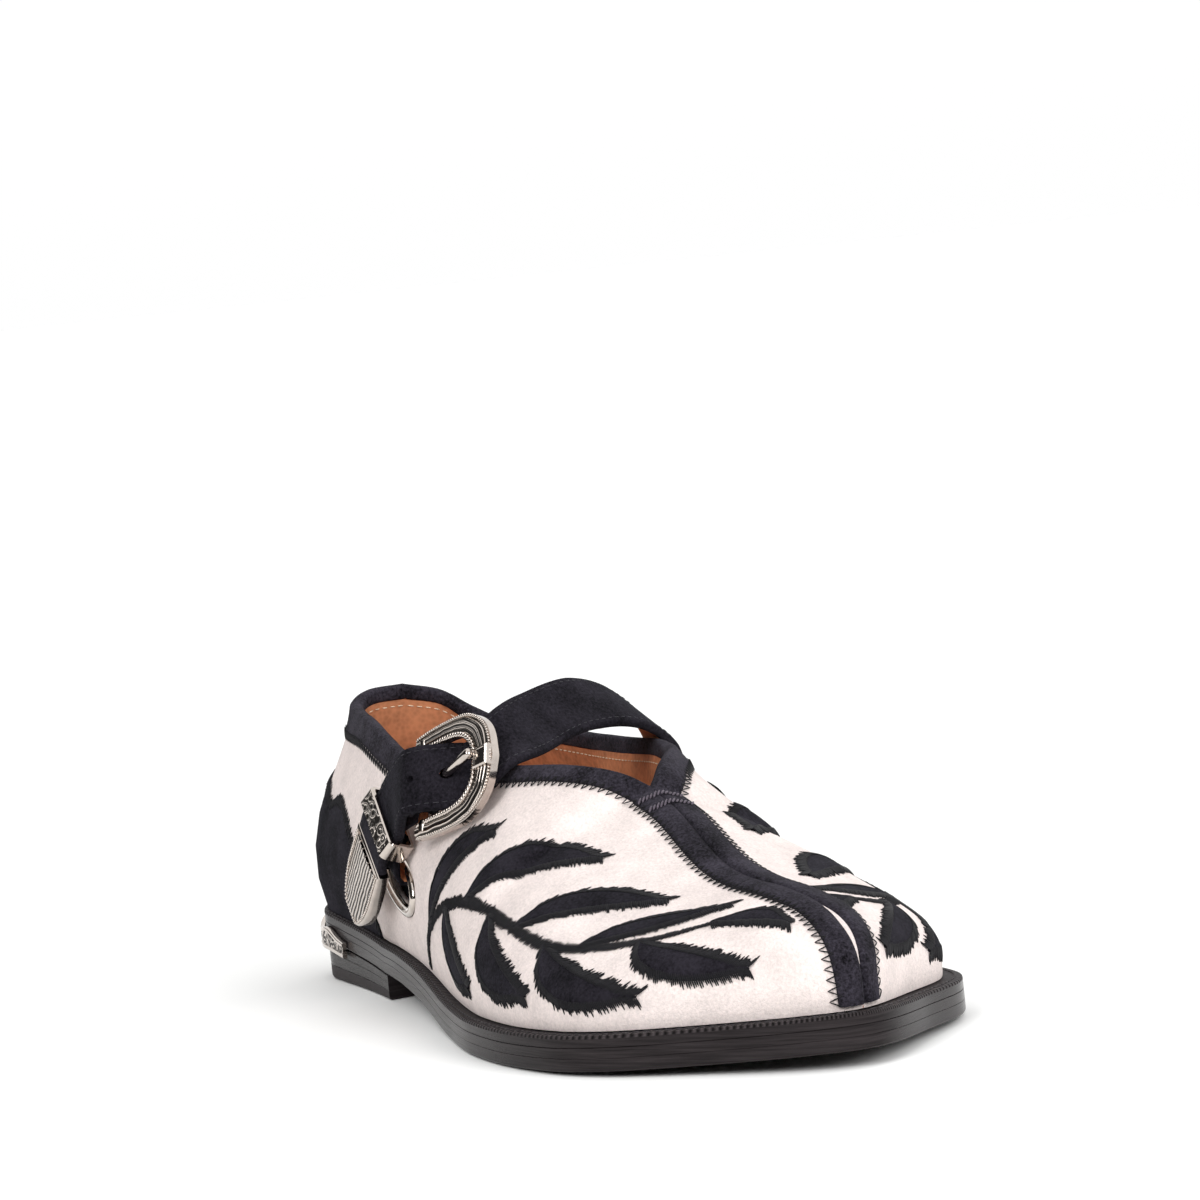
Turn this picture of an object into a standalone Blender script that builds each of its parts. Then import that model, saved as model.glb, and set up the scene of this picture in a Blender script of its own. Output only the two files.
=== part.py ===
"""Suede strap loafer, right shoe: welted sole with a low heel, hollow upper, buckled instep strap.

The shoe is drawn in millimetres with the heel's back at x = 0, the toe at x = LENGTH, the wearer's
outer (lateral) side at -y, and the floor at z = 0. It is stored in metres, with its origin on the floor
under the middle of its box.
"""
import math
from collections import namedtuple

import bmesh
import bpy
import numpy as np
from mathutils import Matrix, Vector

# Driving dimensions, in millimetres and degrees
MM = 0.001
LENGTH = 280.0
HEEL_ROUND = 28.0
TOE_ROUND = 56.0
TOE_FULLNESS = 1.85
TOE_SHIFT = 3.4
ORIGIN_X = 139.25
ORIGIN_Y = 0.22
GAP = 0.3

SEAT_BACK = 11.1
SEAT_BREAST = 6.1
BREAST_X = 77.0
BREAST_HOLLOW = 4.0
HEEL_INSET = 0.3
TREAD_START = 166.0
TREAD_END = 193.0
TOE_SPRING = 3.8
SOLE_AT_HEEL = 7.1
SOLE_AT_TREAD = 7.8
WELT_THICK = 2.6
WELT_INNER = 9.0
EDGE_ROUND = 0.7
INSOLE_THICK = 3.0
WALL = 2.2

STRAP_WIDTH = 16.0
STRAP_THICK = 2.2
CHAPE_THICK = 1.3
CHAPE_WIDTH = 12.5
CHAPE_IN_KEEPER = 8.5
CHAPE_OUT_OF_EYELET = 7.5
BAR_RADIUS = 1.5
FRAME_THICK = 2.8
PRONG_RADIUS = 1.4
KEEPER_WALL = 1.2
KEEPER_LENGTH = 5.2
TIP_THICK = 3.2
TIP_LENGTH = 25.5
PLATE_THICK = 1.2

RUN_STEP = 6.0
WALL_STEPS = 11

# Sole outline: half widths at stations along the shoe, before the ends are rounded
SoleRow = namedtuple("SoleRow", "along lateral medial")
SOLE = [
    SoleRow(0, 30.7, 31.0),
    SoleRow(36, 31.6, 32.0),
    SoleRow(62, 32.7, 31.0),
    SoleRow(90, 35.5, 28.0),
    SoleRow(118, 39.0, 27.0),
    SoleRow(154, 45.3, 36.1),
    SoleRow(182, 49.7, 46.3),
    SoleRow(210, 49.2, 50.6),
    SoleRow(238, 42.7, 45.5),
    SoleRow(260, 31.9, 33.7),
    SoleRow(286, 23.0, 24.3),
]

# The upper's top edge, by distance run along the unrolled sole edge from the heel's back.
# lean is the wall's angle from the vertical where it ends.
TopRow = namedtuple("TopRow", "run x y z lean")
TOPLINE_LATERAL = [
    TopRow(0, 7.0, 0.5, 67.4, 10),
    TopRow(15, 9.0, -9.3, 67.2, 10),
    TopRow(30, 15.0, -15.4, 65.3, 11),
    TopRow(44, 27.0, -18.6, 64.3, 13),
    TopRow(66, 50.0, -23.2, 63.8, 18),
    TopRow(84, 68.5, -25.6, 61.0, 20),
    TopRow(101, 86.0, -26.8, 58.1, 22),
    TopRow(131, 117.0, -24.6, 57.4, 28),
    TopRow(156, 142.0, -18.2, 57.2, 40),
    TopRow(170, 156.0, -12.2, 57.3, 52),
    TopRow(179, 165.0, -6.8, 56.2, 60),
    TopRow(186, 171.0, -2.4, 54.2, 66),
    TopRow(190, 174.5, 1.5, 51.2, 70),
]
TOPLINE_MEDIAL = [
    TopRow(0, 7.0, 0.5, 67.4, 10),
    TopRow(15, 9.0, 10.0, 64.8, 10),
    TopRow(30, 15.0, 15.6, 60.4, 11),
    TopRow(44, 26.0, 20.0, 57.0, 12),
    TopRow(66, 50.0, 25.6, 55.6, 12),
    TopRow(101, 86.0, 28.8, 54.4, 14),
    TopRow(131, 117.0, 27.0, 55.4, 22),
    TopRow(156, 142.0, 19.8, 56.6, 38),
    TopRow(170, 156.0, 13.2, 57.0, 50),
    TopRow(179, 165.0, 8.2, 56.0, 59),
    TopRow(186, 171.0, 4.6, 54.0, 66),
    TopRow(190, 174.5, 1.5, 51.2, 70),
]
RIDGE = [
    TopRow(190, 174.5, 1.5, 51.2, 70),
    TopRow(206, 189.0, 2.2, 46.9, 74),
    TopRow(221, 202.0, 2.7, 42.2, 76),
    TopRow(236, 214.0, 3.1, 38.2, 78),
    TopRow(254, 227.0, 3.5, 35.4, 80),
    TopRow(273, 239.0, 3.9, 34.1, 83),
    TopRow(294, 248.0, 4.2, 32.9, 86),
    TopRow(311, 252.0, 4.4, 32.2, 88),
    TopRow(328, 254.0, 4.5, 31.8, 90),
]

# The upper's wall: welt is how far it stands in from the sole edge, flare its outward lean at the welt,
# rise and reach the shares of its height and span that stay straight at the welt and at the top.
WallRow = namedtuple("WallRow", "run welt flare rise reach")
WALL_LATERAL = [
    WallRow(0, 1.5, 10, 0.46, 0.32),
    WallRow(44, 1.4, 15, 0.48, 0.30),
    WallRow(101, 2.2, 10, 0.46, 0.36),
    WallRow(156, 3.0, 12, 0.50, 0.40),
    WallRow(206, 3.4, 12, 0.56, 0.44),
    WallRow(254, 4.2, 8, 0.60, 0.46),
    WallRow(294, 4.8, 4, 0.62, 0.56),
    WallRow(328, 5.0, 3, 0.64, 0.62),
]
WALL_MEDIAL = [
    WallRow(0, 1.5, 10, 0.46, 0.32),
    WallRow(44, 1.5, 14, 0.46, 0.32),
    WallRow(101, 1.6, 20, 0.46, 0.36),
    WallRow(131, 1.6, 24, 0.48, 0.38),
    WallRow(170, 2.6, 17, 0.50, 0.40),
    WallRow(206, 3.6, 11, 0.54, 0.44),
    WallRow(254, 4.4, 8, 0.60, 0.46),
    WallRow(294, 4.8, 4, 0.62, 0.56),
    WallRow(328, 5.0, 3, 0.64, 0.62),
]
THROAT_RUN = RIDGE[0].run
TOE_RUN = RIDGE[-1].run

# Buckle: place of its bar, the way to its rim, and the way across the strap
BUCKLE_AT = Vector((120.0, -33.4, 53.4))
BUCKLE_AXIS = Vector((0.905, 0.311, 0.287))
BUCKLE_ACROSS = Vector((0.369, -0.245, -0.897))
FrameRow = namedtuple("FrameRow", "axis across band")
BUCKLE_ARM = [
    FrameRow(-2.6, 10.4, 3.4),
    FrameRow(3.0, 10.7, 4.2),
    FrameRow(12.0, 10.8, 4.5),
    FrameRow(18.0, 9.6, 5.6),
    FrameRow(22.6, 5.8, 6.8),
    FrameRow(24.2, 0.0, 7.4),
]

# Straps, by points in the middle of the leather with the way across it and its width
StrapRow = namedtuple("StrapRow", "x y z across_x across_y across_z width")
STRAP_OVER_INSTEP = [
    StrapRow(100.0, 33.8, 30.0, 0.97, 0.05, -0.22, STRAP_WIDTH),
    StrapRow(102.0, 33.4, 43.0, 0.97, 0.05, -0.22, STRAP_WIDTH),
    StrapRow(106.0, 29.8, 56.0, 0.92, 0.20, -0.34, STRAP_WIDTH),
    StrapRow(112.5, 19.6, 64.4, 0.82, 0.25, -0.52, STRAP_WIDTH),
    StrapRow(119.5, 7.0, 67.6, 0.74, 0.10, -0.67, STRAP_WIDTH),
    StrapRow(127.0, -6.0, 66.2, 0.76, -0.06, -0.64, STRAP_WIDTH),
    StrapRow(137.2, -20.2, 62.4, 0.80, -0.10, -0.58, STRAP_WIDTH),
    StrapRow(132.0, -26.3, 56.6, 0.54, -0.21, -0.81, STRAP_WIDTH),
]
STRAP_END = StrapRow(97.7, -40.4, 38.6, 0.654, 0.0, -0.757, STRAP_WIDTH)
SHORT_STRAP_FROM_EYELET = [
    StrapRow(99.0, -28.6, 29.0, 0.98, -0.10, -0.17, CHAPE_OUT_OF_EYELET),
    StrapRow(99.0, -32.2, 29.3, 0.98, -0.10, -0.17, CHAPE_OUT_OF_EYELET),
    StrapRow(99.9, -36.4, 32.2, 0.95, -0.15, -0.25, CHAPE_OUT_OF_EYELET),
    StrapRow(101.2, -37.1, 37.0, 0.80, -0.04, -0.60, CHAPE_OUT_OF_EYELET),
]
# Places in the buckle's own frame: towards the rim, across the strap, out of the shoe
HardwareRow = namedtuple("HardwareRow", "axis across height")
STRAP_IN_BUCKLE = [
    HardwareRow(9.0, 0.0, 0.2),
    HardwareRow(4.2, 0.0, 4.0),
    HardwareRow(-1.0, 0.0, 5.1),
]
SHORT_STRAP_UNDER_BAR = [
    HardwareRow(-8.0, 0.0, -2.7),
    HardwareRow(-2.5, 0.0, -2.6),
]
PRONG_START = HardwareRow(BAR_RADIUS + PRONG_RADIUS + GAP, 0.0, -0.4)
PRONG_END = HardwareRow(25.0, -1.6, 3.4)

# Keeper: the strap's middle in it, the way along the strap, the way across it, and its opening
KEEPER_AT = Vector((104.0, -39.15, 44.6))
KEEPER_AXIS = Vector((0.64, 0.38, 0.66))
KEEPER_ACROSS = Vector((0.72, -0.06, -0.69))
KEEPER_DEPTH = STRAP_THICK + CHAPE_THICK + 4 * GAP
KEEPER_REACH = 3.6
KEEPER_SHORT_REACH = 2.4
TIP_WAY = Vector((-0.757, 0.0, -0.654))
TIP_ACROSS = Vector((0.654, 0.0, -0.757))

# Eyelet: its centre on the lateral wall, its half sizes, its slope towards the toe, and its rim
EYELET_RUN = 115.5
EYELET_RISE = 0.335
EYELET_HALF_LENGTH = 12.4
EYELET_HALF_HEIGHT = 4.2
EYELET_SLOPE = math.radians(-10)
RimRow = namedtuple("RimRow", "out height")
EYELET_RIM = [
    RimRow(0.0, 0.3),
    RimRow(0.2, 0.8),
    RimRow(1.0, 1.1),
    RimRow(2.0, 0.9),
    RimRow(2.5, 0.3),
]

# Heel plate: lower and upper edge by distance run from the heel's back
PlateRow = namedtuple("PlateRow", "run low high")
HEEL_PLATE = [
    PlateRow(0, 4.6, 16.2),
    PlateRow(9, 5.6, 14.4),
    PlateRow(18, 7.2, 13.6),
    PlateRow(27, 8.0, 14.6),
    PlateRow(36, 8.0, 12.6),
    PlateRow(45, 7.6, 13.2),
    PlateRow(53, 7.0, 11.2),
    PlateRow(58, 6.6, 10.4),
]


def column(table, name, at):
    """Read a named column at a place along the table, on a smooth curve through its rows."""
    places = [row[0] for row in table]
    values = [getattr(row, name) for row in table]
    last = len(table) - 1
    i = 0
    while i < last - 1 and at > places[i + 1]:
        i += 1
    step = places[i + 1] - places[i]
    t = min(max((at - places[i]) / step, 0.0), 1.0)

    def slope(k):
        low, high = max(k - 1, 0), min(k + 1, last)
        return (values[high] - values[low]) / (places[high] - places[low])

    start, end = values[i], values[i + 1]
    rise = slope(i) * step
    fall = slope(i + 1) * step
    return (start * (2 * t**3 - 3 * t**2 + 1) + rise * (t**3 - 2 * t**2 + t)
            + end * (3 * t**2 - 2 * t**3) + fall * (t**3 - t**2))


def along_of(run):
    """Distance along the shoe of a place on the unrolled sole edge."""
    heel_arc = HEEL_ROUND * math.pi / 2
    toe_starts = TOE_RUN - TOE_ROUND * math.pi / 2
    if run < heel_arc:
        return HEEL_ROUND * (1 - math.cos(run / HEEL_ROUND))
    if run < toe_starts:
        share = (run - heel_arc) / (toe_starts - heel_arc)
        return HEEL_ROUND + share * (LENGTH - TOE_ROUND - HEEL_ROUND)
    return LENGTH - TOE_ROUND + TOE_ROUND * math.sin((run - toe_starts) / TOE_ROUND)


def sole_edge(turn):
    """Sole outline: turn is the run from the heel's back, minus on the lateral side, plus on the medial."""
    if turn > TOE_RUN:
        turn -= 2 * TOE_RUN
    if turn < -TOE_RUN:
        turn += 2 * TOE_RUN
    along = along_of(abs(turn))
    cap = 1.0
    if along < HEEL_ROUND:
        cap = math.sqrt(max(0.0, 1 - (1 - along / HEEL_ROUND) ** 2))
    if along > LENGTH - TOE_ROUND:
        share = min((along - LENGTH + TOE_ROUND) / TOE_ROUND, 1.0)
        cap = (1 - share**TOE_FULLNESS) ** (1 / TOE_FULLNESS)
    middle = TOE_SHIFT * max(0.0, (along / LENGTH - 0.6) / 0.4) ** 1.5
    side = "medial" if turn > 0 else "lateral"
    sign = 1 if turn > 0 else -1
    half = column(SOLE, side, along)
    return np.array([along, middle + sign * (half - sign * middle) * cap])


def outward(turn):
    """Level direction that points out of the sole outline."""
    tangent = sole_edge(turn + 0.8) - sole_edge(turn - 0.8)
    normal = np.array([-tangent[1], tangent[0]])
    return normal / np.linalg.norm(normal)


def inset_edge(turn, inset):
    """Sole outline moved inwards."""
    return sole_edge(turn) - outward(turn) * inset


def sole_bottom(x):
    """Underside of the outsole: sloping seat, arched waist, level tread, toe spring."""
    if x < BREAST_X:
        return SEAT_BACK + (SEAT_BREAST - SEAT_BACK) * max(x, 0.0) / BREAST_X
    if x < TREAD_START:
        share = (x - BREAST_X) / (TREAD_START - BREAST_X)
        return SEAT_BREAST * (1 - 3 * share**2 + 2 * share**3)
    if x < TREAD_END:
        return 0.0
    return TOE_SPRING * ((x - TREAD_END) / (LENGTH - TREAD_END)) ** 2


def welt_top(x):
    """Top of the welt, which the upper stands on."""
    share = min(max((x / LENGTH - 0.3) / 0.3, 0.0), 1.0)
    return sole_bottom(x) + SOLE_AT_HEEL + (SOLE_AT_TREAD - SOLE_AT_HEEL) * share


def welt_bottom(x):
    """Underside of the welt."""
    return welt_top(x) - WELT_THICK


def outsole_top(x):
    """Upper face of the outsole, a gap below the welt."""
    return welt_bottom(x) - GAP


def runs_to(end):
    """Even places along the sole edge."""
    count = max(2, round(end / RUN_STEP))
    return [end * i / count for i in range(count + 1)]


def wall_point(side, run, share):
    """Outer face of the upper: share is 0 at the welt and 1 at the topline or the ridge."""
    lateral = side < 0
    wall = WALL_LATERAL if lateral else WALL_MEDIAL
    top = TOPLINE_LATERAL if lateral else TOPLINE_MEDIAL
    if run >= THROAT_RUN:
        top = RIDGE
    turn = side * run
    foot = inset_edge(turn, column(wall, "welt", run))
    foot = np.array([foot[0], foot[1], welt_top(foot[0]) + GAP])
    end = np.array([column(top, name, run) for name in ("x", "y", "z")])
    lean = math.radians(column(top, "lean", run))
    flare = math.tan(math.radians(column(wall, "flare", run)))
    height = end[2] - foot[2]
    lower = foot + np.append(outward(turn) * flare, 1.0) * height * column(wall, "rise", run)
    away = (foot - end)[:2] / np.linalg.norm((foot - end)[:2])
    fall = -math.cos(lean)
    if run >= THROAT_RUN:
        ahead = min(run + 2.0, TOE_RUN)
        behind = max(ahead - 4.0, THROAT_RUN)
        drop = column(RIDGE, "z", ahead) - column(RIDGE, "z", behind)
        fall += away[0] * drop / (column(RIDGE, "x", ahead) - column(RIDGE, "x", behind))
    span = np.linalg.norm(foot - end)
    upper = end + np.append(away * math.sin(lean), fall) * span * column(wall, "reach", run)
    back = 1 - share
    return back**3 * foot + 3 * back**2 * share * lower + 3 * back * share**2 * upper + share**3 * end


def wall_frame(side, run, share):
    """A point of the wall with its level, rising and outward directions."""
    step = 0.5
    part = 0.01
    point = wall_point(side, run, share)
    level = wall_point(side, run + step, share) - wall_point(side, run - step, share)
    rising = wall_point(side, run, share + part) - wall_point(side, run, share - part)
    normal = np.cross(rising, level) * side
    return point, level / (2 * step), rising / (2 * part), normal / np.linalg.norm(normal)


def clear_scene():
    """Remove what the file opened with."""
    for obj in list(bpy.data.objects):
        bpy.data.objects.remove(obj, do_unlink=True)


def make_collection(name):
    """A collection linked to the scene."""
    collection = bpy.data.collections.new(name)
    bpy.context.scene.collection.children.link(collection)
    return collection


def make_material(name, colour, roughness, metallic):
    """A plain Principled material."""
    material = bpy.data.materials.new(name)
    material.use_nodes = True
    shader = material.node_tree.nodes["Principled BSDF"]
    shader.inputs["Base Color"].default_value = (*colour, 1.0)
    shader.inputs["Roughness"].default_value = roughness
    shader.inputs["Metallic"].default_value = metallic
    return material


def placed(point):
    """A drawing point in millimetres as a stored point in metres."""
    return ((point[0] - ORIGIN_X) * MM, (point[1] - ORIGIN_Y) * MM, point[2] * MM)


def make_object(name, points, faces, material, collection):
    """A smooth-shaded mesh object from drawing points, with doubles joined and faces pointing out."""
    mesh = bpy.data.meshes.new(name)
    mesh.from_pydata([placed(point) for point in points], [], faces)
    work = bmesh.new()
    work.from_mesh(mesh)
    bmesh.ops.remove_doubles(work, verts=work.verts, dist=0.00001)
    bmesh.ops.recalc_face_normals(work, faces=work.faces)
    work.to_mesh(mesh)
    work.free()
    mesh.shade_smooth()
    mesh.set_sharp_from_angle(angle=math.radians(35))
    mesh.materials.append(material)
    obj = bpy.data.objects.new(name, mesh)
    collection.objects.link(obj)
    return obj


def make_cutter(obj):
    """Mark an object as a cutter."""
    obj.hide_render = True
    obj.display_type = "WIRE"
    return obj


def cut(obj, cutter):
    """Take a cutter's shape out of an object."""
    modifier = obj.modifiers.new("cut", "BOOLEAN")
    modifier.operation = "DIFFERENCE"
    modifier.solver = "EXACT"
    modifier.object = cutter


def join_rings(ring_count, size, closed_rings):
    """Side faces between rings of equal size; the last ring joins the first in a closed tube."""
    faces = []
    for ring in range(ring_count if closed_rings else ring_count - 1):
        following = (ring + 1) % ring_count
        for i in range(size):
            j = (i + 1) % size
            faces.append((ring * size + i, ring * size + j, following * size + j, following * size + i))
    return faces


def cross_strips(first, size):
    """Faces across a ring that is symmetric about its first point: heel, lateral, toe, medial."""
    half = size // 2
    faces = [(first, first + 1, first + size - 1)]
    for i in range(1, half - 1):
        faces.append((first + i, first + i + 1, first + size - i - 1, first + size - i))
    faces.append((first + half - 1, first + half, first + half + 1))
    return faces


def sole_ring(inset, height):
    """A ring round the sole outline; inset and height are functions of the run and of x."""
    runs = runs_to(TOE_RUN)
    turns = [-run for run in runs] + [run for run in reversed(runs[1:-1])]
    ring = []
    for turn in turns:
        x, y = inset_edge(turn, inset(turn))
        ring.append((x, y, height(x)))
    return ring


def make_outsole(material, collection):
    """Outsole with a small bevel under its edge."""
    rings = [
        sole_ring(lambda turn: EDGE_ROUND, sole_bottom),
        sole_ring(lambda turn: 0.0, lambda x: sole_bottom(x) + EDGE_ROUND),
        sole_ring(lambda turn: 0.0, outsole_top),
    ]
    size = len(rings[0])
    faces = join_rings(len(rings), size, False) + cross_strips(0, size) + cross_strips(2 * size, size)
    return make_object("outsole", sum(rings, []), faces, material, collection)


def make_welt(material, collection):
    """Welt strip round the sole edge."""
    rings = [
        sole_ring(lambda turn: 0.0, welt_bottom),
        sole_ring(lambda turn: 0.0, lambda x: welt_top(x) - EDGE_ROUND),
        sole_ring(lambda turn: EDGE_ROUND, welt_top),
        sole_ring(lambda turn: WELT_INNER, welt_top),
        sole_ring(lambda turn: WELT_INNER, welt_bottom),
    ]
    size = len(rings[0])
    return make_object("welt", sum(rings, []), join_rings(len(rings), size, True), material, collection)


def insole_inset(turn):
    """Inset of the insole's edge, just inside the upper's wall."""
    wall = WALL_LATERAL if turn < 0 else WALL_MEDIAL
    return column(wall, "welt", abs(turn)) + WALL + 2 * GAP


def make_insole(material, collection):
    """Insole board over its filler: the filler lies inside the welt, the board on the welt."""
    filler = WELT_INNER + 2 * GAP
    rings = [
        sole_ring(lambda turn: filler, lambda x: outsole_top(x) + GAP),
        sole_ring(lambda turn: filler, lambda x: welt_top(x) + GAP),
        sole_ring(insole_inset, lambda x: welt_top(x) + GAP),
        sole_ring(insole_inset, lambda x: welt_top(x) + GAP + INSOLE_THICK),
    ]
    size = len(rings[0])
    faces = join_rings(len(rings), size, False) + cross_strips(0, size) + cross_strips(3 * size, size)
    return make_object("insole", sum(rings, []), faces, material, collection)


def make_heel(material, collection, cutters):
    """Heel block under the seat, with a hollow front face."""
    past_breast = 100.0
    runs = runs_to(past_breast)
    turns = [-run for run in runs] + [run for run in reversed(runs[1:])]

    def ring(inset, height):
        points = []
        for turn in turns:
            x, y = inset_edge(turn, inset)
            points.append((x, y, height(x)))
        return points

    rings = [
        ring(HEEL_INSET + EDGE_ROUND, lambda x: 0.0),
        ring(HEEL_INSET, lambda x: EDGE_ROUND),
        ring(HEEL_INSET, lambda x: sole_bottom(x) - GAP),
    ]
    size = len(turns)
    faces = join_rings(len(rings), size, False)
    for first in (0, 2 * size):
        faces.append((first, first + 1, first + size - 1))
        for i in range(1, size // 2):
            faces.append((first + i, first + i + 1, first + size - i - 1, first + size - i))
    heel = make_object("heel", sum(rings, []), faces, material, collection)
    half = SOLE[2].lateral
    radius = (BREAST_HOLLOW**2 + half**2) / (2 * BREAST_HOLLOW)
    centre = placed((BREAST_X - BREAST_HOLLOW + radius, 0.0, 0.0))
    bpy.ops.mesh.primitive_cylinder_add(vertices=128, radius=radius * MM, depth=0.1, location=centre)
    cutter = make_cutter(bpy.context.object)
    cutter.name = "breast_cutter"
    move_to(cutter, cutters)
    cut(heel, cutter)
    return heel


def move_to(obj, collection):
    """Keep an object in one collection only."""
    for other in list(obj.users_collection):
        other.objects.unlink(obj)
    collection.objects.link(obj)


def make_upper(material, collection):
    """Hollow upper: one wall per side, joined at the heel's back, the ridge and the toe."""
    points = []
    faces = []
    runs = runs_to(THROAT_RUN)[:-1] + [THROAT_RUN + run for run in runs_to(TOE_RUN - THROAT_RUN)]
    for side in (-1, 1):
        first = len(points)
        for run in runs:
            for step in range(WALL_STEPS + 1):
                points.append(wall_point(side, run, step / WALL_STEPS))
        row = WALL_STEPS + 1
        for i in range(len(runs) - 1):
            for step in range(WALL_STEPS):
                low = first + i * row + step
                face = (low, low + 1, low + row + 1, low + row)
                faces.append(face if side < 0 else face[::-1])
    upper = make_object("upper", points, faces, material, collection)
    if faces_inwards(upper):
        upper.data.flip_normals()
    solid = upper.modifiers.new("wall", "SOLIDIFY")
    solid.thickness = WALL * MM
    solid.offset = -1.0
    solid.use_even_offset = True
    return upper


def faces_inwards(obj):
    """Whether the face nearest the lateral ball points into the shoe."""
    face = min(obj.data.polygons, key=lambda polygon: polygon.center[1])
    return face.normal[1] > 0


def buckle_axes():
    """Right-angled axes of the buckle: towards its rim, across the strap, and out of the shoe."""
    axis = BUCKLE_AXIS.normalized()
    across = (BUCKLE_ACROSS - BUCKLE_ACROSS.dot(axis) * axis).normalized()
    return axis, across, across.cross(axis)


def at_buckle(row):
    """Shoe point of a place in the buckle's frame."""
    axis, across, out = buckle_axes()
    return BUCKLE_AT + axis * row.axis + across * row.across + out * row.height


def ribbon_rings(points, acrosses, widths, thickness):
    """Rectangular rings along a strap: points are in the middle of the leather."""
    rings = []
    for i, point in enumerate(points):
        before = points[max(i - 1, 0)]
        after = points[min(i + 1, len(points) - 1)]
        forward = (after - before).normalized()
        across = acrosses[i] - acrosses[i].dot(forward) * forward
        across.normalize()
        out = across.cross(forward)
        ring = []
        for side, level in ((-1, -1), (1, -1), (1, 1), (-1, 1)):
            ring.append(point + across * side * widths[i] / 2 + out * level * thickness / 2)
        rings.append(ring)
    return rings


def smooth_path(points, steps):
    """Points on a smooth curve through hand-set points."""
    PathRow = namedtuple("PathRow", "at x y z")
    at = 0.0
    table = []
    for i, point in enumerate(points):
        if i:
            at += (point - points[i - 1]).length
        table.append(PathRow(at, point[0], point[1], point[2]))
    path = []
    for low, high in zip(table, table[1:]):
        for step in range(steps):
            place = low.at + (high.at - low.at) * step / steps
            path.append(Vector([column(table, name, place) for name in "xyz"]))
    path.append(points[-1].copy())
    return path


def blended(values, steps):
    """Directions or sizes that change evenly from each hand-set one to the next."""
    path = []
    for low, high in zip(values, values[1:]):
        for step in range(steps):
            path.append(low + (high - low) * (step / steps))
    path.append(values[-1])
    return path


def make_ribbon(name, rows, thickness, steps, material, collection):
    """A strap along a smooth path."""
    path = smooth_path([Vector(row[:3]) for row in rows], steps)
    acrosses = blended([Vector(row[3:6]) for row in rows], steps)
    widths = blended([row.width for row in rows], steps)
    rings = ribbon_rings(path, acrosses, widths, thickness)
    faces = join_rings(len(rings), 4, False)
    last = 4 * (len(rings) - 1)
    faces.append((3, 2, 1, 0))
    faces.append((last, last + 1, last + 2, last + 3))
    return make_object(name, sum(rings, []), faces, material, collection)


def buckle_row(row, width):
    """A strap row from a place in the buckle's frame."""
    return StrapRow(*at_buckle(row), *buckle_axes()[1], width)


def keeper_axes():
    """Right-angled axes of the keeper: along the strap, across it, and out of the shoe."""
    along = KEEPER_AXIS.normalized()
    across = (KEEPER_ACROSS - KEEPER_ACROSS.dot(along) * along).normalized()
    return along, across, across.cross(along)


def keeper_row(step, depth, width):
    """A strap row in the keeper: step along it from its middle, depth below the outer strap's middle."""
    along, across, out = keeper_axes()
    return StrapRow(*(KEEPER_AT + along * step - out * depth), *across, width)


def make_strap(material, collection, cutters):
    """Instep strap from the medial quarter, through buckle and keeper, to its tip, with the prong's hole."""
    in_buckle = [buckle_row(row, STRAP_WIDTH) for row in STRAP_IN_BUCKLE]
    in_keeper = [keeper_row(step, 0.0, STRAP_WIDTH) for step in (KEEPER_REACH, 0.0, -KEEPER_REACH)]
    rows = STRAP_OVER_INSTEP + in_buckle + in_keeper + [STRAP_END]
    strap = make_ribbon("strap", rows, STRAP_THICK, 4, material, collection)
    start = at_buckle(PRONG_START)
    end = at_buckle(PRONG_END)
    hole = start.lerp(end, 0.25)
    cut(strap, rod_cutter("prong_hole", hole, end - start, PRONG_RADIUS + GAP, 11.0, cutters))
    return strap


def rod_cutter(name, centre, direction, radius, length, cutters):
    """A round cutter about a point."""
    bpy.ops.mesh.primitive_cylinder_add(vertices=24, radius=radius * MM, depth=length * MM)
    cutter = make_cutter(bpy.context.object)
    cutter.name = name
    turn = direction.to_track_quat("Z", "Y").to_matrix().to_4x4()
    cutter.matrix_world = Matrix.Translation(placed(centre)) @ turn
    move_to(cutter, cutters)
    return cutter


def make_buckle_strap(material, collection, cutters):
    """Short strap out of the eyelet, folded round the buckle's bar, with a slot for the prong."""
    depth = (STRAP_THICK + CHAPE_THICK) / 2 + 1.5 * GAP
    in_keeper = [
        keeper_row(-KEEPER_SHORT_REACH, depth, CHAPE_OUT_OF_EYELET),
        keeper_row(KEEPER_SHORT_REACH, depth, CHAPE_IN_KEEPER),
    ]
    wrap = BAR_RADIUS + GAP + CHAPE_THICK / 2
    places = list(SHORT_STRAP_UNDER_BAR)
    for degrees in range(-60, 121, 30):
        angle = math.radians(degrees)
        places.append(HardwareRow(wrap * math.cos(angle), 0.0, wrap * math.sin(angle)))
    places.append(HardwareRow(-4.5, 0.0, 1.1))
    rows = SHORT_STRAP_FROM_EYELET + in_keeper + [buckle_row(place, CHAPE_WIDTH) for place in places]
    chape = make_ribbon("buckle_strap", rows, CHAPE_THICK, 2, material, collection)
    slot = at_buckle(HardwareRow(2.0, 0.0, 1.0))
    cut(chape, rod_cutter("prong_slot", slot, buckle_axes()[2], PRONG_RADIUS + 1.2, 9.0, cutters))
    return chape


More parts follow.
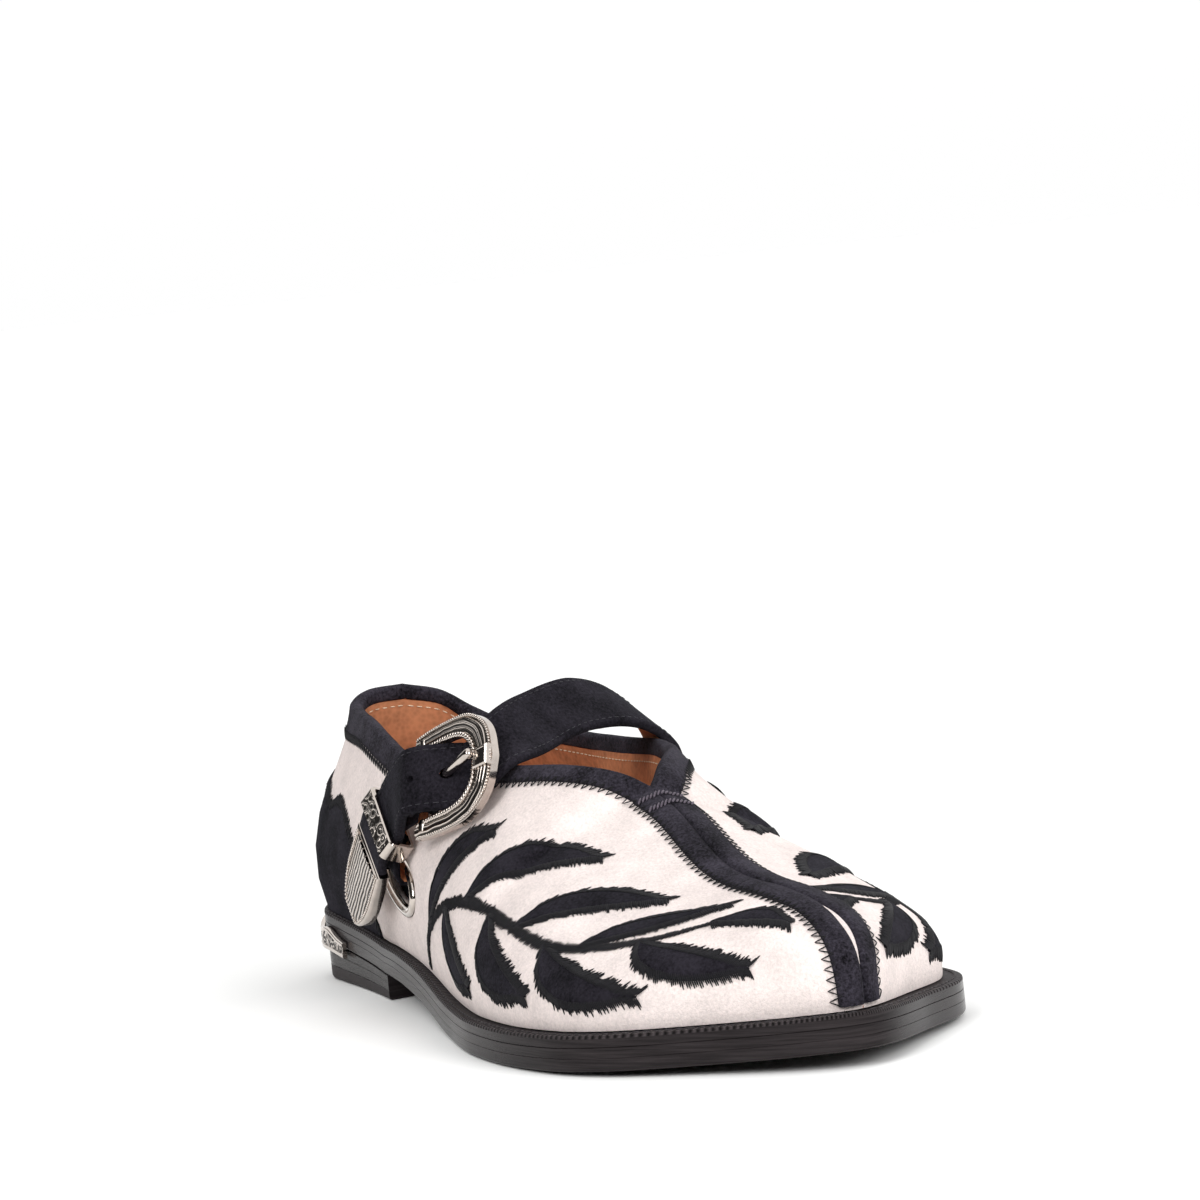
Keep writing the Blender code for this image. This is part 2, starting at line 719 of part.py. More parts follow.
def make_buckle_frame(material, collection):
    """Horseshoe frame with a domed band, and the bar that the short strap folds round."""
    axis, across, out = buckle_axes()
    arm = smooth_path([Vector(row) for row in BUCKLE_ARM], 3)
    mirrored = [Vector((row[0], -row[1], row[2])) for row in reversed(arm[:-1])]
    line = arm + mirrored
    dome = ((-0.5, -0.5), (0.5, -0.5), (0.5, 0.05), (0.28, 0.42), (-0.28, 0.42), (-0.5, 0.05))
    rings = []
    for i, row in enumerate(line):
        before = line[max(i - 1, 0)]
        after = line[min(i + 1, len(line) - 1)]
        forward = Vector((after[0] - before[0], after[1] - before[1])).normalized()
        outer = Vector((forward[1], -forward[0]))
        ring = []
        for beside, above in dome:
            place = HardwareRow(row[0] + outer[0] * beside * row[2], row[1] + outer[1] * beside * row[2],
                                above * FRAME_THICK)
            ring.append(at_buckle(place))
        rings.append(ring)
    size = len(dome)
    faces = join_rings(len(rings), size, False)
    faces.append(tuple(range(size)))
    faces.append(tuple(range(len(rings) * size - size, len(rings) * size)))
    frame = make_object("buckle_frame", sum(rings, []), faces, material, collection)
    half = BUCKLE_ARM[0].across + 0.6
    bpy.ops.mesh.primitive_cylinder_add(vertices=20, radius=BAR_RADIUS * MM, depth=2 * half * MM)
    bar = make_cutter(bpy.context.object)
    bar.name = "buckle_bar"
    turn = across.to_track_quat("Z", "Y").to_matrix().to_4x4()
    bar.matrix_world = Matrix.Translation(placed(BUCKLE_AT)) @ turn
    union = frame.modifiers.new("bar", "BOOLEAN")
    union.operation = "UNION"
    union.solver = "EXACT"
    union.object = bar
    return frame, bar


def make_prong(material, collection):
    """Prong from beside the bar, through the strap, to its rest on the rim."""
    start = at_buckle(PRONG_START)
    end = at_buckle(PRONG_END)
    shares = (0.0, 0.3, 0.6, 0.9, 1.0)
    radii = (PRONG_RADIUS, PRONG_RADIUS, PRONG_RADIUS, PRONG_RADIUS, 0.8 * PRONG_RADIUS)
    curve = bpy.data.curves.new("buckle_prong", "CURVE")
    curve.dimensions = "3D"
    curve.bevel_depth = MM
    curve.bevel_resolution = 3
    curve.use_fill_caps = True
    spline = curve.splines.new("POLY")
    spline.points.add(len(shares) - 1)
    for point, share, radius in zip(spline.points, shares, radii):
        point.co = (*placed(start.lerp(end, share)), 1.0)
        point.radius = radius
    curve.materials.append(material)
    prong = bpy.data.objects.new("buckle_prong", curve)
    collection.objects.link(prong)
    return prong


def box_object(name, centre, axes, size):
    """A box about a point, with its edges along three axes."""
    bpy.ops.mesh.primitive_cube_add(size=1.0)
    box = bpy.context.object
    box.name = name
    scale = Matrix.Diagonal([length * MM for length in size]).to_4x4()
    turn = Matrix((axes[0], axes[1], axes[2])).transposed().to_4x4()
    box.data.transform(scale)
    box.matrix_world = Matrix.Translation(placed(centre)) @ turn
    return box


def make_keeper(material, collection, cutters):
    """Metal loop round both straps."""
    axes = keeper_axes()
    centre = KEEPER_AT - axes[2] * (CHAPE_THICK + 2 * GAP) / 2
    opening = STRAP_WIDTH + 2 * GAP
    outer = (KEEPER_LENGTH, opening + 2 * KEEPER_WALL, KEEPER_DEPTH + 2 * KEEPER_WALL)
    keeper = box_object("keeper", centre, axes, outer)
    keeper.data.materials.append(material)
    move_to(keeper, collection)
    hole = make_cutter(box_object("keeper_hole", centre, axes, (2 * KEEPER_LENGTH, opening, KEEPER_DEPTH)))
    move_to(hole, cutters)
    cut(keeper, hole)
    bevel = keeper.modifiers.new("edges", "BEVEL")
    bevel.width = 0.35 * MM
    bevel.segments = 2
    return keeper


def make_tip(material, collection):
    """Shield-shaped strap end."""
    along = TIP_WAY.normalized()
    across = (TIP_ACROSS - TIP_ACROSS.dot(along) * along).normalized()
    start = Vector(STRAP_END[:3]) + along * 2 * GAP
    half = STRAP_WIDTH / 2 + 0.4
    straight = 0.42
    outline = [(0.0, -half)]
    for i in range(11):
        angle = math.pi / 2 * i / 10
        reach = straight + (1 - straight) * math.sin(angle)
        outline.append((TIP_LENGTH * reach, -half * math.cos(angle) ** 0.8 if i < 10 else 0.0))
    outline += [(place, -side) for place, side in reversed(outline[:-1])]
    curve = bpy.data.curves.new("strap_tip", "CURVE")
    curve.dimensions = "2D"
    curve.fill_mode = "BOTH"
    curve.extrude = TIP_THICK / 2 * MM
    spline = curve.splines.new("POLY")
    spline.points.add(len(outline) - 1)
    spline.use_cyclic_u = True
    for point, (place, side) in zip(spline.points, outline):
        point.co = (place * MM, side * MM, 0.0, 1.0)
    curve.materials.append(material)
    tip = bpy.data.objects.new("strap_tip", curve)
    collection.objects.link(tip)
    turn = Matrix((along, across, along.cross(across))).transposed().to_4x4()
    tip.matrix_world = Matrix.Translation(placed(start)) @ turn
    return tip


def eyelet_place(angle, out):
    """Point and outward direction on the wall, out from the eyelet's edge by a distance."""
    _, level, rising, _ = wall_frame(-1, EYELET_RUN, EYELET_RISE)
    long_part = (EYELET_HALF_LENGTH + out) * math.cos(angle)
    short_part = (EYELET_HALF_HEIGHT + out) * math.sin(angle)
    forward = long_part * math.cos(EYELET_SLOPE) - short_part * math.sin(EYELET_SLOPE)
    upward = long_part * math.sin(EYELET_SLOPE) + short_part * math.cos(EYELET_SLOPE)
    run = EYELET_RUN + forward / np.linalg.norm(level)
    share = EYELET_RISE + upward / np.linalg.norm(rising)
    place, _, _, facing = wall_frame(-1, run, share)
    return place, facing


def make_eyelet(material, collection, cutters, upper):
    """Oval metal ring on the lateral wall, and the opening in the wall behind it."""
    count = 36
    size = len(EYELET_RIM)
    points = []
    for i in range(count):
        angle = 2 * math.pi * i / count
        for row in EYELET_RIM:
            place, facing = eyelet_place(angle, row.out)
            points.append(place + facing * row.height)
    eyelet = make_object("eyelet", points, join_rings(count, size, True), material, collection)
    facing = wall_frame(-1, EYELET_RUN, EYELET_RISE)[3]
    rings = []
    for depth in (-8.0, 8.0):
        ring = []
        for i in range(count):
            place, _ = eyelet_place(2 * math.pi * i / count, 0.5)
            ring.append(place + facing * depth)
        rings.append(ring)
    faces = join_rings(2, count, False)
    faces.append(tuple(range(count)))
    faces.append(tuple(range(count, 2 * count)))
    cutter = make_cutter(make_object("eyelet_cutter", sum(rings, []), faces, material, cutters))
    cut(upper, cutter)
    return eyelet


def make_heel_plate(material, collection):
    """Crested metal plate round the back of the heel, clear of sole and heel by the usual gap."""
    end = HEEL_PLATE[-1].run
    count = 36
    levels = 3
    points = []
    for i in range(count + 1):
        turn = end * (2 * i / count - 1)
        x, y = inset_edge(turn, -GAP)
        low = column(HEEL_PLATE, "low", abs(turn))
        high = column(HEEL_PLATE, "high", abs(turn))
        for level in range(levels + 1):
            points.append((x, y, low + (high - low) * level / levels))
    row = levels + 1
    faces = []
    for i in range(count):
        for level in range(levels):
            low = i * row + level
            faces.append((low, low + 1, low + row + 1, low + row))
    plate = make_object("heel_plate", points, faces, material, collection)
    back = min(plate.data.polygons, key=lambda polygon: polygon.center[0])
    if back.normal[0] > 0:
        plate.data.flip_normals()
    solid = plate.modifiers.new("plate", "SOLIDIFY")
    solid.thickness = PLATE_THICK * MM
    solid.offset = 1.0
    return plate


def main():
    """Build the shoe."""
    clear_scene()
    shoe = make_collection("suede_strap_loafer")
    cutters = make_collection("cutters")
    black_sole = make_material("sole_leather", (0.012, 0.012, 0.013), 0.35, 0.0)
    black_edge = make_material("welt_leather", (0.010, 0.010, 0.011), 0.45, 0.0)
    black_heel = make_material("heel_stack", (0.012, 0.012, 0.013), 0.35, 0.0)
    tan = make_material("lining_leather", (0.30, 0.095, 0.035), 0.7, 0.0)
    white = make_material("white_suede", (0.80, 0.77, 0.74), 0.95, 0.0)
    black = make_material("black_suede", (0.012, 0.012, 0.015), 0.95, 0.0)
    silver = make_material("nickel_silver", (0.62, 0.60, 0.57), 0.22, 1.0)
    make_outsole(black_sole, shoe)
    make_welt(black_edge, shoe)
    make_heel(black_heel, shoe, cutters)
    make_insole(tan, shoe)
    upper = make_upper(white, shoe)
    make_strap(black, shoe, cutters)
    make_buckle_strap(black, shoe, cutters)
    _, bar = make_buckle_frame(silver, shoe)
    move_to(bar, cutters)
    make_prong(silver, shoe)
    make_keeper(silver, shoe, cutters)
    make_tip(silver, shoe)
    make_eyelet(silver, shoe, cutters, upper)
    make_heel_plate(silver, shoe)


main()
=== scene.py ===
"""Suede strap loafer, right shoe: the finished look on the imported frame.

Drawing points are in millimetres, with the heel's back at x = 0, the toe at x = 280, the wearer's outer
(lateral) side at -y and the floor at z = 0. Meshes are stored in metres in the frame's own axes.
"""
import functools
import math
from collections import namedtuple

import bmesh
import bpy
import numpy as np
from bpy.props import FloatProperty, FloatVectorProperty, IntProperty, PointerProperty
from mathutils import Matrix, Vector
from mathutils.bvhtree import BVHTree
from mathutils.interpolate import poly_3d_calc


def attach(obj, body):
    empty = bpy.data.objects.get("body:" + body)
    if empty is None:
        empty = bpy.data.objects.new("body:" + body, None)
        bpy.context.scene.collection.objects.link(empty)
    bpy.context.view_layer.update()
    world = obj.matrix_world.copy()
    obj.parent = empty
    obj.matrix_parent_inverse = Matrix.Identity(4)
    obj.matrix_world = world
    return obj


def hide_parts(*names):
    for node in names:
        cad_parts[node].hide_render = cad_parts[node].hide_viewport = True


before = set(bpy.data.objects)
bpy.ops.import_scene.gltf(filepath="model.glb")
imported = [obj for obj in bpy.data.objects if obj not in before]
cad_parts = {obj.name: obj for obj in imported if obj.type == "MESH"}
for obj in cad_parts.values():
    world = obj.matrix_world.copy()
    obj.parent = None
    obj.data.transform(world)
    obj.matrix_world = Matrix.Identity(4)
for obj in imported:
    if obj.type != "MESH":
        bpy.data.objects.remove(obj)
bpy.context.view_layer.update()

bl_info = {
    "name": "Suede strap loafer",
    "version": (1, 0, 0),
    "blender": (4, 5, 0),
    "location": "3D View > Sidebar > Loafer",
    "description": "Builds the finished pieces of a suede strap loafer on its packed frame",
    "category": "Object",
}

# Driving dimensions of the frame, in millimetres and degrees
MM = 0.001
LENGTH = 280.0
HEEL_ROUND = 28.0
TOE_ROUND = 56.0
TOE_FULLNESS = 1.85
TOE_SHIFT = 3.4
ORIGIN_X = 139.25
ORIGIN_Y = 0.22
GAP = 0.3
SEAT_BACK = 11.1
SEAT_BREAST = 6.1
BREAST_X = 77.0
BREAST_HOLLOW = 4.0
HEEL_INSET = 0.3
TREAD_START = 166.0
TREAD_END = 193.0
TOE_SPRING = 3.8
SOLE_AT_HEEL = 7.1
SOLE_AT_TREAD = 7.8
WELT_THICK = 2.6
WELT_INNER = 9.0
EDGE_ROUND = 0.7
INSOLE_THICK = 3.0
WALL = 2.2
STRAP_WIDTH = 16.0
STRAP_THICK = 2.2
CHAPE_THICK = 1.3
CHAPE_WIDTH = 12.5
CHAPE_IN_KEEPER = 8.5
CHAPE_OUT_OF_EYELET = 7.5
CHAPE_IN_EYELET = 14.0
CHAPE_INSIDE = 22.0
BAR_RADIUS = 1.5
FRAME_THICK = 2.8
PRONG_RADIUS = 1.4
KEEPER_WALL = 1.2
KEEPER_LENGTH = 5.2
TIP_THICK = 3.2
TIP_LENGTH = 25.5

# How finely the walls and the front are surveyed, and how near points are joined
SHARES = 60
SOLE_STEP = 1.6
FRONT_STEP = 1.4
BINDING_STEP = 1.25
WELD = 0.004

# Sewn work: stitch lengths, the run where the lining seam ends, and the bar tacks' places down the front
STITCH_LENGTH = 1.5
STRAP_STITCH_LENGTH = 1.45
STITCH_LIFT = 0.04
LINING_SEAM_END = 172
BAR_TACKS = (3.6, 10.4)

# Sole outline: half widths at stations along the shoe, before the ends are rounded
SoleRow = namedtuple("SoleRow", "along lateral medial")
SOLE = [
    SoleRow(0, 30.7, 31.0),
    SoleRow(36, 31.6, 32.0),
    SoleRow(62, 32.7, 31.0),
    SoleRow(90, 35.5, 28.0),
    SoleRow(118, 39.0, 27.0),
    SoleRow(154, 45.3, 36.1),
    SoleRow(182, 49.7, 46.3),
    SoleRow(210, 49.2, 50.6),
    SoleRow(238, 42.7, 45.5),
    SoleRow(260, 31.9, 33.7),
    SoleRow(286, 23.0, 24.3),
]

# The upper's top edge, by distance run along the sole edge; lean is the wall's angle from the vertical there
TopRow = namedtuple("TopRow", "run x y z lean")
TOPLINE_LATERAL = [
    TopRow(0, 7.0, 0.5, 67.4, 10),
    TopRow(15, 9.0, -9.3, 67.2, 10),
    TopRow(30, 15.0, -15.4, 65.3, 11),
    TopRow(44, 27.0, -18.6, 64.3, 13),
    TopRow(66, 50.0, -23.2, 63.8, 18),
    TopRow(84, 68.5, -25.6, 61.0, 20),
    TopRow(101, 86.0, -26.8, 58.1, 22),
    TopRow(131, 117.0, -24.6, 57.4, 28),
    TopRow(156, 142.0, -18.2, 57.2, 40),
    TopRow(170, 156.0, -12.2, 57.3, 52),
    TopRow(179, 165.0, -6.8, 56.2, 60),
    TopRow(186, 171.0, -2.4, 54.2, 66),
    TopRow(190, 174.5, 1.5, 51.2, 70),
]
TOPLINE_MEDIAL = [
    TopRow(0, 7.0, 0.5, 67.4, 10),
    TopRow(15, 9.0, 10.0, 64.8, 10),
    TopRow(30, 15.0, 15.6, 60.4, 11),
    TopRow(44, 26.0, 20.0, 57.0, 12),
    TopRow(66, 50.0, 25.6, 55.6, 12),
    TopRow(101, 86.0, 28.8, 54.4, 14),
    TopRow(131, 117.0, 27.0, 55.4, 22),
    TopRow(156, 142.0, 19.8, 56.6, 38),
    TopRow(170, 156.0, 13.2, 57.0, 50),
    TopRow(179, 165.0, 8.2, 56.0, 59),
    TopRow(186, 171.0, 4.6, 54.0, 66),
    TopRow(190, 174.5, 1.5, 51.2, 70),
]
RIDGE = [
    TopRow(190, 174.5, 1.5, 51.2, 70),
    TopRow(206, 189.0, 2.2, 46.9, 74),
    TopRow(221, 202.0, 2.7, 42.2, 76),
    TopRow(236, 214.0, 3.1, 38.2, 78),
    TopRow(254, 227.0, 3.5, 35.4, 80),
    TopRow(273, 239.0, 3.9, 34.1, 83),
    TopRow(294, 248.0, 4.2, 32.9, 86),
    TopRow(311, 252.0, 4.4, 32.2, 88),
    TopRow(328, 254.0, 4.5, 31.8, 90),
]
THROAT_RUN = RIDGE[0].run
TOE_RUN = RIDGE[-1].run

# The upper's wall: inset and flare at the welt, and the shares that stay straight at the welt and at the top
WallRow = namedtuple("WallRow", "run welt flare rise reach")
WALL_LATERAL = [
    WallRow(0, 1.5, 10, 0.46, 0.32),
    WallRow(44, 1.4, 15, 0.48, 0.30),
    WallRow(101, 2.2, 10, 0.46, 0.36),
    WallRow(156, 3.0, 12, 0.50, 0.40),
    WallRow(206, 3.4, 12, 0.56, 0.44),
    WallRow(254, 4.2, 8, 0.60, 0.46),
    WallRow(294, 4.8, 4, 0.62, 0.56),
    WallRow(328, 5.0, 3, 0.64, 0.62),
]
WALL_MEDIAL = [
    WallRow(0, 1.5, 10, 0.46, 0.32),
    WallRow(44, 1.5, 14, 0.46, 0.32),
    WallRow(101, 1.6, 20, 0.46, 0.36),
    WallRow(131, 1.6, 24, 0.48, 0.38),
    WallRow(170, 2.6, 17, 0.50, 0.40),
    WallRow(206, 3.6, 11, 0.54, 0.44),
    WallRow(254, 4.4, 8, 0.60, 0.46),
    WallRow(294, 4.8, 4, 0.62, 0.56),
    WallRow(328, 5.0, 3, 0.64, 0.62),
]

# Buckle: place of its bar, the way to its rim, the way across the strap, and its arm in its own frame
BUCKLE_AT = Vector((120.0, -33.4, 53.4))
BUCKLE_AXIS = Vector((0.905, 0.311, 0.287))
BUCKLE_ACROSS = Vector((0.369, -0.245, -0.897))
FrameRow = namedtuple("FrameRow", "axis across band")
BUCKLE_ARM = [
    FrameRow(-2.6, 10.4, 3.4),
    FrameRow(3.0, 10.7, 4.2),
    FrameRow(12.0, 10.8, 4.5),
    FrameRow(18.0, 9.6, 5.6),
    FrameRow(22.6, 5.8, 6.8),
    FrameRow(24.2, 0.0, 7.4),
]
ROPE_BESIDE = 0.44
ROPE_ABOVE = 0.3

# Straps, by points in the middle of the leather with the way across it and its width
StrapRow = namedtuple("StrapRow", "x y z across_x across_y across_z width")
STRAP_OVER_INSTEP = [
    StrapRow(100.0, 33.8, 30.0, 0.97, 0.05, -0.22, STRAP_WIDTH),
    StrapRow(102.0, 33.4, 43.0, 0.97, 0.05, -0.22, STRAP_WIDTH),
    StrapRow(106.0, 29.8, 56.0, 0.92, 0.20, -0.34, STRAP_WIDTH),
    StrapRow(112.5, 19.6, 64.4, 0.82, 0.25, -0.52, STRAP_WIDTH),
    StrapRow(119.5, 7.0, 67.6, 0.74, 0.10, -0.67, STRAP_WIDTH),
    StrapRow(127.0, -6.0, 66.2, 0.76, -0.06, -0.64, STRAP_WIDTH),
    StrapRow(137.2, -20.2, 62.4, 0.80, -0.10, -0.58, STRAP_WIDTH),
    StrapRow(132.0, -26.3, 56.6, 0.54, -0.21, -0.81, STRAP_WIDTH),
]
STRAP_END = StrapRow(97.7, -40.4, 38.6, 0.654, 0.0, -0.757, STRAP_WIDTH)
SHORT_STRAP_FROM_EYELET = [
    StrapRow(90.0, -31.0, 19.0, 0.99, -0.10, -0.05, CHAPE_INSIDE),
    StrapRow(91.0, -31.2, 27.0, 0.99, -0.10, -0.05, CHAPE_INSIDE),
    StrapRow(95.0, -31.6, 31.6, 0.98, -0.10, -0.12, CHAPE_INSIDE),
    StrapRow(99.0, -34.0, 32.7, 0.98, -0.10, -0.17, CHAPE_IN_EYELET),
    StrapRow(100.4, -36.9, 33.5, 0.95, -0.15, -0.25, CHAPE_IN_EYELET),
    StrapRow(101.2, -37.1, 37.0, 0.80, -0.04, -0.60, CHAPE_OUT_OF_EYELET),
]
HardwareRow = namedtuple("HardwareRow", "axis across height")
STRAP_IN_BUCKLE = [
    HardwareRow(9.0, 0.0, 0.2),
    HardwareRow(4.2, 0.0, 4.0),
    HardwareRow(-1.0, 0.0, 5.1),
]
SHORT_STRAP_UNDER_BAR = [
    HardwareRow(-8.0, 0.0, -2.7),
    HardwareRow(-2.5, 0.0, -2.6),
]
PRONG_START = HardwareRow(BAR_RADIUS + PRONG_RADIUS + GAP, 0.0, -0.4)
PRONG_END = HardwareRow(25.0, -1.6, 3.4)
PRONG_SLOT = HardwareRow(2.0, 0.0, 1.0)
SPARE_HOLE = HardwareRow(2.4, 0.0, 4.4)
CHAPE_END = HardwareRow(-4.5, 0.0, 1.1)

# Prong, by share of its length; and its rest on the buckle's rim, by inset and height
PRONG_FLATNESS = 0.85
ProngRow = namedtuple("ProngRow", "share radius")
PRONG = [
    ProngRow(0.0, 0.5),
    ProngRow(0.02, 0.9),
    ProngRow(0.06, 1.1),
    ProngRow(0.3, 1.15),
    ProngRow(0.6, 1.25),
    ProngRow(0.82, 1.3),
    ProngRow(0.86, 1.15),
    ProngRow(0.88, 0.7),
]
REST_AT = 24.9
REST_HALF_LENGTH = 2.6
REST_HALF_WIDTH = 2.4
RestRow = namedtuple("RestRow", "inset height")
PRONG_REST = [
    RestRow(0.0, -0.2),
    RestRow(0.0, 1.9),
    RestRow(0.35, 2.2),
    RestRow(0.6, 2.2),
    RestRow(0.7, 2.05),
]

# Keeper: the strap's middle in it, the way along the strap, the way across it, and its opening
KEEPER_AT = Vector((104.0, -39.15, 44.6))
KEEPER_AXIS = Vector((0.64, 0.38, 0.66))
KEEPER_ACROSS = Vector((0.72, -0.06, -0.69))
KEEPER_DEPTH = STRAP_THICK + CHAPE_THICK + 4 * GAP
KEEPER_REACH = 3.6
KEEPER_SHORT_REACH = 2.4

# Strap tip: its way, the way across it, its straight share, its border, rim height, crown and beads
TIP_WAY = Vector((-0.757, 0.0, -0.654))
TIP_ACROSS = Vector((0.654, 0.0, -0.757))
TIP_STRAIGHT = 0.42
TIP_BORDER = 1.7
TIP_RIM_HEIGHT = 1.3
TIP_CROWN = 0.45
BEAD_INSET = 1.15
BEAD_PITCH = 0.95

# Eyelet: its centre on the lateral wall, its half sizes, its slope towards the toe, and its rim
EYELET_RUN = 115.5
EYELET_RISE = 0.335
EYELET_HALF_LENGTH = 12.4
EYELET_HALF_HEIGHT = 4.2
EYELET_SLOPE = math.radians(-10)
RimRow = namedtuple("RimRow", "out height")
EYELET_RIM = [
    RimRow(0.0, -0.6),
    RimRow(0.0, 0.3),
    RimRow(0.2, 0.75),
    RimRow(0.6, 1.02),
    RimRow(1.1, 1.1),
    RimRow(1.6, 1.03),
    RimRow(2.1, 0.8),
    RimRow(2.45, 0.4),
    RimRow(2.5, 0.05),
]

# Heel plate: lower and upper edge by distance run from the heel's back, and its rim's section
PlateRow = namedtuple("PlateRow", "run low high")
HEEL_PLATE = [
    PlateRow(0, 4.6, 16.2),
    PlateRow(9, 5.6, 14.4),
    PlateRow(18, 7.2, 13.6),
    PlateRow(27, 8.0, 14.6),
    PlateRow(36, 8.0, 12.6),
    PlateRow(45, 7.6, 13.2),
    PlateRow(53, 7.0, 11.2),
    PlateRow(58, 6.6, 10.4),
]
PlateRim = namedtuple("PlateRim", "out within")
PLATE_RIM = [
    PlateRim(0.0, 0.0),
    PlateRim(0.8, 0.0),
    PlateRim(1.1, 0.15),
    PlateRim(1.2, 0.5),
    PlateRim(1.2, 0.9),
    PlateRim(1.05, 1.0),
]

# Binding round the collar: its width outside and inside, and how proud it stands
BindingRow = namedtuple("BindingRow", "run outside inside lift")
BINDING_LATERAL = [
    BindingRow(0, 6.8, 2.6, 0.55),
    BindingRow(30, 6.4, 2.6, 0.55),
    BindingRow(60, 5.6, 2.8, 0.55),
    BindingRow(95, 5.4, 3.0, 0.50),
    BindingRow(130, 4.6, 3.0, 0.50),
    BindingRow(159, 4.2, 3.0, 0.60),
    BindingRow(175, 4.8, 2.6, 0.70),
    BindingRow(186, 5.2, 1.4, 0.80),
    BindingRow(190, 5.4, 0.8, 0.85),
]
BINDING_MEDIAL = [
    BindingRow(0, 6.8, 2.6, 0.55),
    BindingRow(30, 6.4, 2.6, 0.55),
    BindingRow(60, 5.6, 2.8, 0.55),
    BindingRow(98, 5.0, 3.0, 0.20),
    BindingRow(118, 5.0, 3.0, 0.20),
    BindingRow(150, 5.2, 3.0, 0.60),
    BindingRow(175, 6.0, 2.6, 0.75),
    BindingRow(186, 6.4, 1.4, 0.85),
    BindingRow(190, 6.4, 0.8, 0.85),
]

# Rolled strips down the front: widths, half the opening between them, and the slit's shift to the medial side
FrontRow = namedtuple("FrontRow", "distance lateral medial opening wander")
FRONT_STRIPS = [
    FrontRow(0, 5.4, 6.4, -0.15, 0.0),
    FrontRow(12, 5.3, 6.0, -0.15, 0.0),
    FrontRow(34, 5.3, 5.8, -0.15, -1.4),
    FrontRow(48, 5.2, 6.0, -0.15, -1.7),
    FrontRow(66, 5.4, 6.4, -0.15, 0.0),
    FrontRow(80, 5.8, 6.6, 0.05, 1.4),
    FrontRow(88, 6.4, 6.4, 0.70, 2.6),
    FrontRow(95, 6.6, 6.0, 0.90, 2.9),
    FrontRow(102, 6.4, 5.5, 0.40, 2.8),
    FrontRow(109, 5.9, 5.1, -0.10, 2.4),
    FrontRow(118, 5.5, 4.9, -0.10, 2.2),
]

# Counter patch round the heel: height up the wall by distance run
CounterRow = namedtuple("CounterRow", "run height")
COUNTER = [
    CounterRow(0, 33.0),
    CounterRow(10, 31.5),
    CounterRow(20, 29.0),
    CounterRow(29, 31.5),
    CounterRow(38, 30.5),
    CounterRow(47, 27.0),
    CounterRow(56, 29.0),
    CounterRow(64, 27.5),
    CounterRow(72, 22.0),
    CounterRow(78, 16.0),
    CounterRow(83, 8.0),
    CounterRow(86, 1.0),
]

# Flank ornament: a plain laurel branch, by run and height up the wall
STEM = [(138, 2), (146, 12), (160, 20), (181, 24), (204, 22), (228, 19), (252, 22), (270, 26.5)]
Leaf = namedtuple("Leaf", "path width")
LEAVES = [
    Leaf([(148, 14), (150, 24), (156, 34), (167, 41)], 9.0),
    Leaf([(176, 24), (182, 34), (193, 42), (208, 47)], 9.5),
    Leaf([(208, 21.5), (215, 30), (226, 36), (242, 40)], 9.0),
    Leaf([(236, 20), (243, 26), (253, 31), (266, 35)], 7.5),
    Leaf([(162, 20.5), (168, 14), (177, 9), (191, 6)], 8.5),
    Leaf([(192, 23), (199, 15), (210, 10), (226, 7)], 9.0),
    Leaf([(224, 19), (232, 13), (244, 9), (261, 7)], 8.5),
    Leaf([(253, 22), (260, 17), (271, 13), (286, 11)], 7.5),
    Leaf([(268, 26), (277, 27), (286, 26), (297, 22)], 6.5),
]
LOWEST_THREAD = 0.2

# Camera: degrees round from the side, up and rolled, its place, and its lens by pixels of a square photograph
CAMERA_AZIMUTH = 69.86
CAMERA_ELEVATION = 4.05
CAMERA_ROLL = -5.97
CAMERA_AT = (1379.1, -448.1, 185.8)
SENSOR = 36.0
PHOTO_PIXELS = 1200.0
FOCAL_PIXELS = 5812.0

# Studio, in metres and watts: floor, lamps, and the ways to the dark flags
FLOOR_RADIUS = 12.0
FLOOR_DROP = 0.0002
Lamp = namedtuple("Lamp", "name place size power")
LAMPS = [
    Lamp("key", (1.0, -1.2, 1.0), 0.9, 18.0),
    Lamp("fill", (1.6, 0.4, 0.8), 0.8, 16.0),
]
LAMPS_AIM = Vector((0.0, 0.0, 0.03))
FLAGS = [(0.94, -0.33, 0.08), (-0.5, -0.85, 0.12)]


def linear(hex_colour):
    """Linear colour of an sRGB hex value."""
    channels = [int(hex_colour[i:i + 2], 16) / 255 for i in (0, 2, 4)]
    return tuple(c / 12.92 if c <= 0.04045 else ((c + 0.055) / 1.055) ** 2.4 for c in channels)


class LoaferSizes(bpy.types.PropertyGroup):
    """Sizes of the sewn work and the ornament."""

    zigzag_pitch: FloatProperty(name="Zigzag pitch", description="Distance between teeth of the edge stitch",
                                default=0.0023, unit="LENGTH")
    zigzag_reach: FloatProperty(name="Zigzag reach", description="How far the teeth reach past the binding",
                                default=0.0016, unit="LENGTH")
    thread: FloatProperty(name="Thread", description="Half the thickness of the edge thread",
                          default=0.00016, unit="LENGTH")
    seam_stitch: FloatProperty(name="Seam stitch", description="Length of one seam stitch with its gap",
                               default=0.0022, unit="LENGTH")
    satin_pitch: FloatProperty(name="Satin pitch", description="Distance between threads of the satin rows",
                               default=0.00045, unit="LENGTH")
    satin_width: FloatProperty(name="Satin width", description="Width of the satin rows",
                               default=0.0032, unit="LENGTH")
    seed: IntProperty(name="Seed", description="Seed of the stitches' unevenness", default=7)


